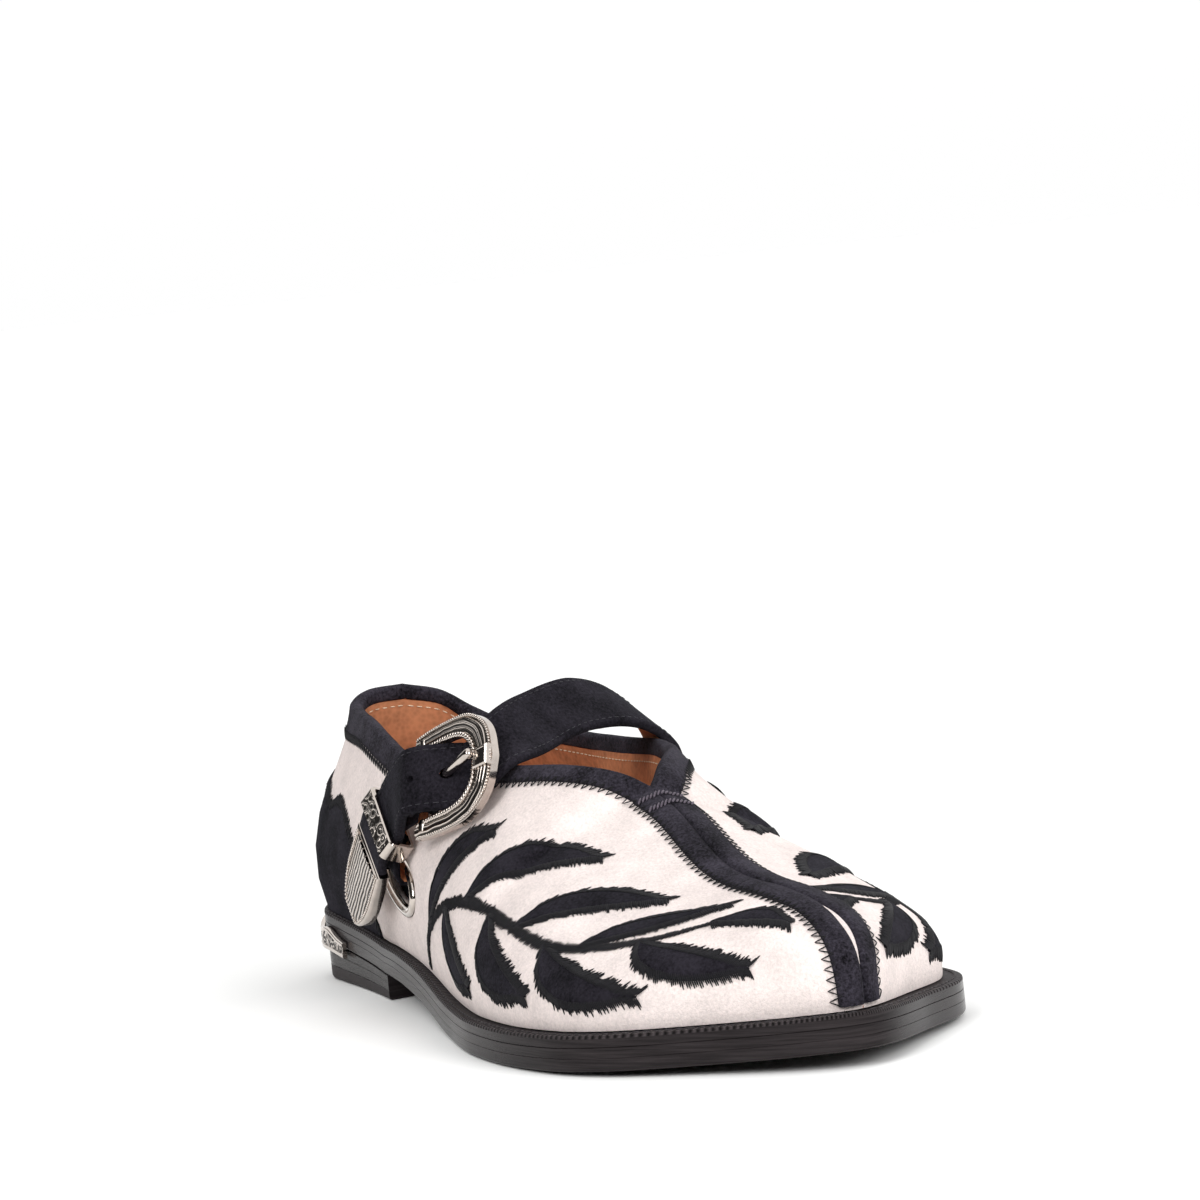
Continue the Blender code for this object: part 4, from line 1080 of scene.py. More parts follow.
def lay_threads(name, laid, finish, half_thick, uneven=0.1):
    """Stitches, beads or rope turns as one plain mesh, by half their thickness in millimetres."""
    mesh = bpy.data.meshes.new(name)
    mesh.from_pydata([placed(row.point) for row in laid], [], [])
    lay = mesh.attributes.new("lay", "FLOAT_VECTOR", "POINT")
    lay.data.foreach_set("vector", np.array([row.direction for row in laid], dtype=np.float32).ravel())
    reach = mesh.attributes.new("reach", "FLOAT", "POINT")
    reach.data.foreach_set("value", np.array([row.length * MM for row in laid], dtype=np.float32))
    piece = add_object(name, mesh)
    modifier = piece.modifiers.new("threads", "NODES")
    modifier.node_group = thread_tree()
    inputs = {"Thickness": half_thick * MM, "Unevenness": uneven,
              "Seed": bpy.context.scene.loafer_sizes.seed, "Finish": finish_of(finish)}
    for item in modifier.node_group.interface.items_tree:
        if item.in_out == "INPUT" and item.name in inputs:
            modifier[item.identifier] = inputs[item.name]
    settle(piece)
    if len(piece.data.polygons) == 0:
        raise RuntimeError(f"{name} has no faces")
    seat_piece(piece, LAID_SLOTS[finish])


def laid_between(start, end):
    """A thread from one drawing point to another."""
    start = np.array(start)
    end = np.array(end)
    length = np.linalg.norm(end - start)
    return Laid((start + end) / 2, (end - start) / length, length)


def lengths_along(points):
    """Distance of each point along a line."""
    steps = np.linalg.norm(np.diff(points, axis=0), axis=1)
    return np.concatenate([[0.0], np.cumsum(steps)])


def at_lengths(points, wanted):
    """Points at wanted distances along a line."""
    points = np.array(points)
    lengths = lengths_along(points)
    return np.stack([np.interp(wanted, lengths, points[:, k]) for k in range(points.shape[1])], axis=1)


def seam(points, pitch, length):
    """Straight stitches along a line."""
    points = np.array(points)
    total = lengths_along(points)[-1]
    starts = np.arange(0.3 * pitch, total - length, pitch)
    heads = at_lengths(points, starts)
    tails = at_lengths(points, starts + length)
    return [laid_between(head, tail) for head, tail in zip(heads, tails)]


def zigzag(inner, outer, pitch):
    """Two legs for each tooth between an inner and an outer line."""
    inner = np.array(inner)
    outer = np.array(outer)
    total = lengths_along(inner)[-1]
    count = int(total / pitch)
    shares = np.linspace(0, total, 2 * count + 1)
    scale = lengths_along(outer)[-1] / total
    low = at_lengths(inner, shares)
    high = at_lengths(outer, shares * scale)
    laid = []
    for i in range(2 * count):
        start = low[i] if i % 2 == 0 else high[i]
        end = high[i + 1] if i % 2 == 0 else low[i + 1]
        laid.append(laid_between(start, end))
    return laid


def rope_turns(line, out, pitch, length, slant):
    """Slanted turns of a twisted rope along a line."""
    line = np.array([tuple(point) for point in line])
    wanted = np.arange(pitch, lengths_along(line)[-1], pitch)
    spots = at_lengths(line, wanted)
    ahead = at_lengths(line, wanted + 0.3) - at_lengths(line, wanted - 0.3)
    laid = []
    for spot, forward in zip(spots, ahead):
        forward = forward / np.linalg.norm(forward)
        beside = np.cross(out, forward)
        laid.append(Laid(spot, forward * math.cos(slant) + beside * math.sin(slant), length))
    return laid


def smooth_path(points, steps):
    """Points on a smooth curve through given points."""
    PathRow = namedtuple("PathRow", "at x y z")
    at = 0.0
    table = []
    for i, point in enumerate(points):
        if i:
            at += (point - points[i - 1]).length
        table.append(PathRow(at, point[0], point[1], point[2]))
    path = []
    for low, high in zip(table, table[1:]):
        for step in range(steps):
            place = low.at + (high.at - low.at) * step / steps
            path.append(Vector([column(table, name, place) for name in "xyz"]))
    path.append(points[-1].copy())
    return path


def blended(values, steps):
    """Directions or sizes that change evenly from each given one to the next."""
    path = []
    for low, high in zip(values, values[1:]):
        for step in range(steps):
            path.append(low + (high - low) * (step / steps))
    path.append(values[-1])
    return path


RibbonFrame = namedtuple("RibbonFrame", "point forward across out width")


def ribbon_frames(rows, steps):
    """Places along a strap with the ways along, across and through the leather."""
    path = smooth_path([Vector(row[:3]) for row in rows], steps)
    acrosses = blended([Vector(row[3:6]) for row in rows], steps)
    widths = blended([row.width for row in rows], steps)
    frames = []
    for i, point in enumerate(path):
        forward = (path[min(i + 1, len(path) - 1)] - path[max(i - 1, 0)]).normalized()
        across = acrosses[i] - acrosses[i].dot(forward) * forward
        across.normalize()
        frames.append(RibbonFrame(point, forward, across, across.cross(forward), widths[i]))
    return frames


def strap_section(width, thickness):
    """Section of a strap: crowned face, round edge, flat back, round edge."""
    flat = width / 2 - thickness / 3
    face = [(flat * (k / 4 - 1), thickness / 2) for k in range(9)]
    turns = [math.radians(degrees) for degrees in (60, 30, 0, -30, -60)]
    edge = [(flat + thickness / 3 * math.cos(turn), thickness / 2 * math.sin(turn)) for turn in turns]
    back = [(beside, -level) for beside, level in reversed(face)]
    return face + edge + back + [(-beside, -level) for beside, level in edge]


def make_strap_piece(name, frames, thickness, facing):
    """A two-layer strap: suede on the face and edges, lining leather on the back."""
    rings = []
    for row in frames:
        ring = []
        for beside, level in strap_section(row.width, thickness):
            ring.append(row.point + row.across * beside + row.out * level * facing)
        rings.append(ring)
    backs = range(14, 22)
    return make_tube(name, rings, ["black_suede", "lining_leather"], lambda ring, place: place in backs)


def strap_seams(frames, thickness, facing, inset):
    """Stitch lines near both edges of a strap."""
    lines = []
    for side in (-1, 1):
        line = []
        for row in frames:
            beside = side * (row.width / 2 - inset)
            line.append(row.point + row.across * beside + row.out * facing * (thickness / 2 + STITCH_LIFT))
        lines.append(line)
    return lines


def right_angled(axis, across):
    """Unit axes along a fitting, across it at a right angle, and through it."""
    axis = axis.normalized()
    across = (across - across.dot(axis) * axis).normalized()
    return axis, across, across.cross(axis)


def round_ring(centre, first, second):
    """Even places round a circle or an ellipse, by its two half axes."""
    sides = 24
    turns = [2 * math.pi * k / sides for k in range(sides)]
    return [centre + first * math.cos(turn) + second * math.sin(turn) for turn in turns]


def buckle_axes():
    """Axes of the buckle: towards its rim, across the strap, and out of the shoe."""
    return right_angled(BUCKLE_AXIS, BUCKLE_ACROSS)


def at_buckle(row):
    """Drawing point of a place in the buckle's frame."""
    axis, across, out = buckle_axes()
    return BUCKLE_AT + axis * row[0] + across * row[1] + out * row[2]


def buckle_row(row, width):
    """A strap row from a place in the buckle's frame."""
    return StrapRow(*at_buckle(row), *buckle_axes()[1], width)


def keeper_row(step, depth, width):
    """A strap row in the keeper: step along it from its middle, depth below the outer strap's middle."""
    along, across, out = right_angled(KEEPER_AXIS, KEEPER_ACROSS)
    return StrapRow(*(KEEPER_AT + along * step - out * depth), *across, width)


def strap_rows():
    """The whole instep strap, from the medial quarter to its tip."""
    in_buckle = [buckle_row(row, STRAP_WIDTH) for row in STRAP_IN_BUCKLE]
    in_keeper = [keeper_row(step, 0.0, STRAP_WIDTH) for step in (KEEPER_REACH, 0.0, -KEEPER_REACH)]
    return STRAP_OVER_INSTEP + in_buckle + in_keeper + [STRAP_END]


def short_strap_rows():
    """The short strap, from the eyelet round the buckle's bar."""
    depth = (STRAP_THICK + CHAPE_THICK) / 2 + 1.5 * GAP
    in_keeper = [
        keeper_row(-KEEPER_SHORT_REACH, depth, CHAPE_OUT_OF_EYELET),
        keeper_row(KEEPER_SHORT_REACH, depth, CHAPE_IN_KEEPER),
    ]
    wrap = BAR_RADIUS + GAP + CHAPE_THICK / 2
    places = list(SHORT_STRAP_UNDER_BAR)
    for degrees in range(-60, 121, 30):
        angle = math.radians(degrees)
        places.append(HardwareRow(wrap * math.cos(angle), 0.0, wrap * math.sin(angle)))
    places.append(CHAPE_END)
    return SHORT_STRAP_FROM_EYELET + in_keeper + [buckle_row(place, CHAPE_WIDTH) for place in places]


def even_runs(end, step):
    """Even places from the heel's back to the end of a run, about a step apart."""
    count = round(end / step)
    return [end * i / count for i in range(count + 1)]


def sole_turns():
    """Even places round the sole outline, from the heel's back by the lateral side."""
    runs = even_runs(TOE_RUN, SOLE_STEP)
    return [-run for run in runs] + runs[-2:0:-1]


def sole_line(turns, inset, height, rise):
    """Points along the sole outline; inset is a function of the turn, height of x."""
    edge = [inset_edge(turn, inset(turn)) for turn in turns]
    return [(x, y, height(x) + rise) for x, y in edge]


def sole_rings(profile, inset=lambda turn: 0.0):
    """Rings round the sole from a profile: more inset, a height and a rise above it."""
    rings = []
    for more, height, rise in profile:
        rings.append(sole_line(sole_turns(), lambda turn: inset(turn) + more, height, rise))
    return rings


def upper_inset(turn):
    """Inset of the upper's foot from the sole's edge."""
    return column(WALL_LATERAL if turn < 0 else WALL_MEDIAL, "welt", abs(turn))


def insole_inset(turn):
    """Inset of the insole's edge, just inside the upper's wall."""
    return upper_inset(turn) + WALL + 2 * GAP


@functools.lru_cache(maxsize=None)
def outer_skin():
    """The upper's outer face as points, outward directions and faces, and a tree to find places on it."""
    points = []
    normals = []
    faces = []
    runs = list(range(0, TOE_RUN + 1, 2))
    for side in (-1, 1):
        survey = wall_survey()[side]
        first = len(points)
        for run in runs:
            points.extend(survey.points[run])
            normals.extend(survey.normals[run])
        row = SHARES + 1
        for i in range(len(runs) - 1):
            for step in range(SHARES):
                low = first + i * row + step
                face = (low, low + 1, low + row + 1, low + row)
                faces.append(face if side < 0 else face[::-1])
    tree = BVHTree.FromPolygons([Vector(point) for point in points], faces)
    return points, normals, faces, tree


FrontFrame = namedtuple("FrontFrame", "point forward normal distance")


@functools.lru_cache(maxsize=None)
def front_line():
    """Even places down the middle of the front, from the throat over the toe to the welt."""
    raw = [on_wall(-1, run, 1.0)[0] for run in range(THROAT_RUN, TOE_RUN, 2)]
    raw += [on_wall(-1, TOE_RUN, 1 - step / 40)[0] for step in range(40)]
    total = lengths_along(np.array(raw))[-1]
    wanted = np.linspace(0, total, round(total / FRONT_STEP) + 1)
    line = at_lengths(raw, wanted)
    line[:, 1] += [column(FRONT_STRIPS, "wander", distance) for distance in wanted]
    frames = []
    for i, point in enumerate(line):
        forward = line[min(i + 2, len(line) - 1)] - line[max(i - 2, 0)]
        forward[1] = 0.0
        forward /= np.linalg.norm(forward)
        normal = np.cross(forward, (0.0, 1.0, 0.0))
        frames.append(FrontFrame(point, forward, normal, wanted[i]))
    return frames


def beside_front(side, row, beside, lift):
    """Point of the upper to the side of the front's middle line, raised off the leather."""
    points, normals, faces, tree = outer_skin()
    spot = row.point + np.array([0.0, side * beside, 0.0])
    above = 14.0
    reach = 40.0
    place, _, index, _ = tree.ray_cast(Vector(spot + row.normal * above), Vector(-row.normal), reach)
    if place is None:
        place, _, index, _ = tree.find_nearest(Vector(spot))
    corners = faces[index]
    weights = poly_3d_calc([Vector(points[corner]) for corner in corners], place)
    normal = sum(np.array(normals[corner]) * weight for corner, weight in zip(corners, weights))
    return np.array(place) + normal / np.linalg.norm(normal) * lift


def binding_table(side):
    """Binding sizes of a side."""
    return BINDING_LATERAL if side < 0 else BINDING_MEDIAL


def binding_ring(side, run):
    """Section of the collar binding: up the outside, over the edge and down the inside."""
    table = binding_table(side)
    wide = column(table, "outside", run)
    deep = column(table, "inside", run)
    lift = column(table, "lift", run)
    ring = []
    for down, rise in ((wide, -0.2), (wide, 0.3 * lift), (wide - 0.3, 0.7 * lift), (wide - 0.8, lift),
                       (0.55 * wide, lift), (0.28 * wide, lift), (0.0, lift)):
        ring.append(below_top(side, run, down, rise))
    edge, normal = on_wall(side, run, 1.0)
    rising = edge - on_wall(side, run, 0.97)[0]
    rising /= np.linalg.norm(rising)
    centre = edge - normal * WALL / 2
    for degrees in (30, 60, 90, 120, 150):
        turn = math.radians(degrees)
        ring.append(centre + normal * math.cos(turn) * (WALL / 2 + lift) + rising * math.sin(turn) * 0.9)
    for down, rise in ((0.0, lift), (0.5 * deep, lift), (deep - 0.5, 0.9 * lift), (deep, 0.3 * lift),
                       (deep, -0.2)):
        ring.append(below_top(side, run, max(down, 0.0), -WALL - rise))
    return ring


def front_width(side, row):
    """Width of a front strip."""
    return column(FRONT_STRIPS, "lateral" if side < 0 else "medial", row.distance)


def front_ring(side, row):
    """Section of a front strip: flat on the leather, rolled down into the slit."""
    wide = front_width(side, row)
    gap = column(FRONT_STRIPS, "opening", row.distance)
    lift = 0.95
    roll = 1.6
    ring = []
    for beside, rise in ((wide, -0.2), (wide, 0.25), (wide - 0.3, 0.6), (wide - 0.8, lift),
                         (0.65 * wide, lift + 0.1), (0.48 * wide, lift + 0.15), (gap + roll, lift + 0.1)):
        ring.append(beside_front(side, row, beside, rise))
    for degrees in (20, 40, 60, 75, 90):
        turn = math.radians(degrees)
        beside = gap + roll * (1 - math.sin(turn))
        ring.append(beside_front(side, row, beside, lift + 0.1 - roll * (1 - math.cos(turn))))
    for beside, rise in ((gap, -0.2), (gap, -0.5), (0.3 * wide, -0.6), (0.6 * wide, -0.6), (wide, -0.5)):
        ring.append(beside_front(side, row, beside, rise))
    return ring


def binding_runs():
    """Even places along the collar, from the heel's back to the throat."""
    return even_runs(THROAT_RUN, BINDING_STEP)


def binding_edge(side, past, lift):
    """A line along the binding's sewn edge, by its distance past the edge."""
    table = binding_table(side)
    line = [below_top(side, run, column(table, "outside", run) + past, lift) for run in binding_runs()[:-2]]
    for row in front_line()[1:]:
        line.append(beside_front(side, row, front_width(side, row) + past, lift))
    return line


def curve_points(controls, pitch):
    """Even places on a smooth line through points of the flank's chart."""
    path = smooth_path([Vector((*control, 0.0)) for control in controls], steps=12)
    flat = np.array([point[:2] for point in path])
    total = lengths_along(flat)[-1]
    return at_lengths(flat, np.linspace(0, total, max(2, round(total / pitch) + 1)))


def chart_sides(line):
    """Directions along and across a line of the flank's chart."""
    forward = np.gradient(line, axis=0)
    forward /= np.linalg.norm(forward, axis=1, keepdims=True)
    return forward, np.stack([-forward[:, 1], forward[:, 0]], axis=1)


def on_flank(side, spot, lift):
    """A place of the flank's chart on the shoe, clear of the welt and raised off the leather."""
    return above_welt(side, spot[0], max(spot[1], LOWEST_THREAD), lift)


def satin_row(side, controls, width, pitch, chance):
    """Threads laid across a line of the flank, a little slanted and uneven."""
    line = curve_points(controls, pitch)
    forward, across = chart_sides(line)
    laid = []
    for i, place in enumerate(line):
        ease = min(1.0, 0.45 + 4.0 * min(i, len(line) - 1 - i) / len(line))
        reach = (across[i] + forward[i] * 0.35) * width / 2 * ease
        first = place + reach * chance.uniform(0.75, 1.25)
        last = place - reach * chance.uniform(0.75, 1.25)
        lift = 0.2 + 0.12 * (i % 2)
        laid.append(laid_between(on_flank(side, first, lift), on_flank(side, last, lift)))
    return laid


def leaf_width(share, width):
    """Half width of a leaf along its length."""
    return max(0.15, width / 2 * math.sin(math.pi * share**0.8) ** 0.8)


def leaf_rings(side, leaf):
    """Sections of one suede leaf on the flank."""
    line = curve_points(leaf.path, 0.8)
    _, across = chart_sides(line)
    rings = []
    for i, place in enumerate(line):
        half = leaf_width(i / (len(line) - 1), leaf.width)
        section = [(beside, 0.1 + 0.55 * (1 - beside**4)) for beside in np.linspace(1, -1, 9)]
        section += [(-1, -0.4), (1, -0.4)]
        rings.append([on_flank(side, place + across[i] * half * beside, lift) for beside, lift in section])
    return rings


def leaf_threads(side, leaf, pitch, chance):
    """Feathered edge stitches of one leaf, slanted towards its tip."""
    line = curve_points(leaf.path, pitch)
    forward, across = chart_sides(line)
    laid = []
    for i, place in enumerate(line):
        half = leaf_width(i / (len(line) - 1), leaf.width)
        for edge in (-1, 1):
            base = place + across[i] * edge * max(half - 1.3, 0.0)
            reach = (across[i] * edge + forward[i] * 0.75) * chance.uniform(1.6, 3.0)
            laid.append(laid_between(on_flank(side, base, 0.7), on_flank(side, base + reach, 0.12)))
    return laid


def eyelet_place(angle, out):
    """Point and outward direction on the wall, out from the eyelet's edge by a distance."""
    _, level, rising, _ = wall_frame(-1, EYELET_RUN, EYELET_RISE)
    long_part = (EYELET_HALF_LENGTH + out) * math.cos(angle)
    short_part = (EYELET_HALF_HEIGHT + out) * math.sin(angle)
    forward = long_part * math.cos(EYELET_SLOPE) - short_part * math.sin(EYELET_SLOPE)
    upward = long_part * math.sin(EYELET_SLOPE) + short_part * math.cos(EYELET_SLOPE)
    run = EYELET_RUN + forward / np.linalg.norm(level)
    share = EYELET_RISE + upward / np.linalg.norm(rising)
    place, _, _, facing = wall_frame(-1, run, share)
    return place, facing


def eyelet_cutter():
    """The opening in the lateral wall behind the eyelet."""
    count = 48
    facing = wall_frame(-1, EYELET_RUN, EYELET_RISE)[3]
    rings = []
    for depth in (-8.0, 8.0):
        rings.append([eyelet_place(2 * math.pi * i / count, 0.5)[0] + facing * depth for i in range(count)])
    return make_tube("eyelet_cutter", rings, ["white_suede"])


class LOAFER_OT_upper(bpy.types.Operator):
    """Hollow suede upper with its lining"""

    bl_idname = "loafer.upper"
    bl_label = "Upper"

    def execute(self, context):
        points, normals, faces, _ = outer_skin()
        outer = np.array(points)
        inner = outer - np.array(normals) * WALL
        count = len(points)
        row = SHARES + 1
        runs = TOE_RUN // 2 + 1
        all_faces = list(faces)
        finishes = [0] * len(faces)
        for face in faces:
            all_faces.append(tuple(count + corner for corner in reversed(face)))
            finishes.append(1)
        for half in range(2):
            for i in range(runs - 1):
                foot = half * runs * row + i * row
                all_faces.append((foot, foot + row, count + foot + row, count + foot))
                finishes.append(0)
                if (i + 1) * 2 <= THROAT_RUN:
                    top = foot + SHARES
                    all_faces.append((top, count + top, count + top + row, top + row))
                    finishes.append(0)
        upper = make_piece("suede_upper", list(outer) + list(inner), all_faces,
                           ["white_suede", "lining_leather"], finishes, sharp=60.0)
        carve(upper, eyelet_cutter())
        seat_piece(upper, "white_suede", "upper")
        return {"FINISHED"}


class LOAFER_OT_binding(bpy.types.Operator):
    """Black suede binding round the collar and down both sides of the front slit"""

    bl_idname = "loafer.binding"
    bl_label = "Binding"

    def execute(self, context):
        lateral, medial = ([binding_ring(side, run) for run in binding_runs()]
                           + [front_ring(side, row) for row in front_line()[1:]] for side in (-1, 1))
        # The binding wears the lighter suede, a painted highlight of the light that falls on it
        binding = make_tube("suede_binding", lateral[::-1] + medial[1:], ["lit_binding_suede"], sharp=70.0)
        seat_piece(binding, "black_suede")
        return {"FINISHED"}


class LOAFER_OT_binding_stitches(bpy.types.Operator):
    """Zigzag edge stitches, lining seam and the bar tacks over the slit"""

    bl_idname = "loafer.binding_stitches"
    bl_label = "Binding stitches"

    def execute(self, context):
        sizes = context.scene.loafer_sizes
        laid = []
        inside = []
        for side in (-1, 1):
            inner = binding_edge(side, past=-1.0, lift=1.0)
            outer = binding_edge(side, past=sizes.zigzag_reach / MM, lift=0.15)
            laid += zigzag(inner, outer, sizes.zigzag_pitch / MM)
            table = binding_table(side)
            line = [below_top(side, run, column(table, "inside", run) + 1.6, -WALL - 0.1)
                    for run in binding_runs() if run < LINING_SEAM_END]
            inside += seam(line, sizes.seam_stitch / MM, STITCH_LENGTH)
        lay_threads("edge_zigzag", laid, "black_thread", half_thick=sizes.thread / MM)
        lay_threads("lining_seam", inside, "tan_thread", half_thick=0.16)
        tacks = []
        for distance in BAR_TACKS:
            row = min(front_line(), key=lambda front: abs(front.distance - distance))
            line = [beside_front(-1, row, beside, 1.35) for beside in np.linspace(5.6, 0.4, 12)]
            line += [beside_front(1, row, beside, 1.35) for beside in np.linspace(0.4, 5.2, 12)]
            tacks += rope_turns(line, row.normal, pitch=0.95, length=2.7, slant=math.radians(58))
        lay_threads("bar_tacks", tacks, "tack_thread", half_thick=0.3, uneven=0.2)
        return {"FINISHED"}


class LOAFER_OT_counter(bpy.types.Operator):
    """Black suede counter patch round the heel, with its back strip and edge stitches"""

    bl_idname = "loafer.counter"
    bl_label = "Counter"

    def execute(self, context):
        sizes = context.scene.loafer_sizes
        end = COUNTER[-1].run
        turns = np.linspace(-end, end, 2 * end + 1)
        rings = []
        for turn in turns:
            high = column(COUNTER, "height", abs(turn))
            ring = []
            for up, lift in ((0.0, 0.3), (0.25 * high, 0.55), (0.5 * high, 0.6), (0.75 * high, 0.6),
                             (max(high - 0.9, 0.8 * high), 0.6), (max(high - 0.3, 0.92 * high), 0.45),
                             (high, 0.15), (high, -0.4), (0.5 * high, -0.4), (0.0, -0.4)):
                ring.append(above_welt(1, turn, up, lift))
            rings.append(ring)
        seat_piece(make_tube("counter_patch", rings, ["black_suede"], sharp=70.0), "black_suede")
        inner = []
        outer = []
        for turn in turns:
            high = column(COUNTER, "height", abs(turn))
            inner.append(above_welt(1, turn, max(high - 1.1, 0.3), 0.75))
            outer.append(above_welt(1, turn, high + 1.7, 0.15))
        laid = zigzag(inner, outer, 0.6 * sizes.zigzag_pitch / MM)
        lay_threads("counter_stitches", laid, "black_thread", half_thick=0.2, uneven=0.5)
        self.back_strip(sizes)
        return {"FINISHED"}

    def back_strip(self, sizes):
        """Narrow strip over the back seam, from the counter to the collar."""
        low = COUNTER[0].height - 2.0
        top = wall_survey()[1].lengths[0][-1] - 6.0
        rings = []
        section = [(-2.6, 0.05), (-2.3, 0.4), (-1.2, 0.55), (0.0, 0.6), (1.2, 0.55), (2.3, 0.4), (2.6, 0.05),
                   (2.6, -0.4), (-2.6, -0.4)]
        for up in np.linspace(low, top, 24):
            rings.append([above_welt(1, beside, up, lift) for beside, lift in section])
        seat_piece(make_tube("back_strip", rings, ["black_suede"]), "black_suede")
        laid = []
        for beside in (-1.8, 1.8):
            line = [above_welt(1, beside, up, 0.55) for up in np.linspace(low + 2.5, top - 0.5, 40)]
            laid += seam(line, sizes.seam_stitch / MM, STITCH_LENGTH)
        lay_threads("back_strip_seam", laid, "strap_thread", half_thick=0.15)


class LOAFER_OT_ornament(bpy.types.Operator):
    """Laurel branch on both flanks: suede leaves with feathered edges on a satin-stitched stem"""

    bl_idname = "loafer.ornament"
    bl_label = "Flank ornament"

    def execute(self, context):
        sizes = context.scene.loafer_sizes
        pitch = sizes.satin_pitch / MM
        width = sizes.satin_width / MM
        for side, name in ((-1, "lateral"), (1, "medial")):
            chance = np.random.default_rng(sizes.seed)
            laid = satin_row(side, STEM, width, pitch, chance)
            for leaf in LEAVES:
                laid += leaf_threads(side, leaf, pitch, chance)
            lay_threads(f"satin_{name}", laid, "black_thread", half_thick=0.2)
            points = []
            faces = []
            for leaf in LEAVES:
                rings = leaf_rings(side, leaf)
                size = len(rings[0])
                first = len(points)
                points += ring_points(rings)
                for face in join_rings(len(rings), size, False) + end_caps(len(rings), size):
                    faces.append(tuple(first + corner for corner in face))
            leaves = make_piece(f"suede_leaves_{name}", points, faces, ["black_suede"], sharp=70.0)
            seat_piece(leaves, "black_suede")
        return {"FINISHED"}


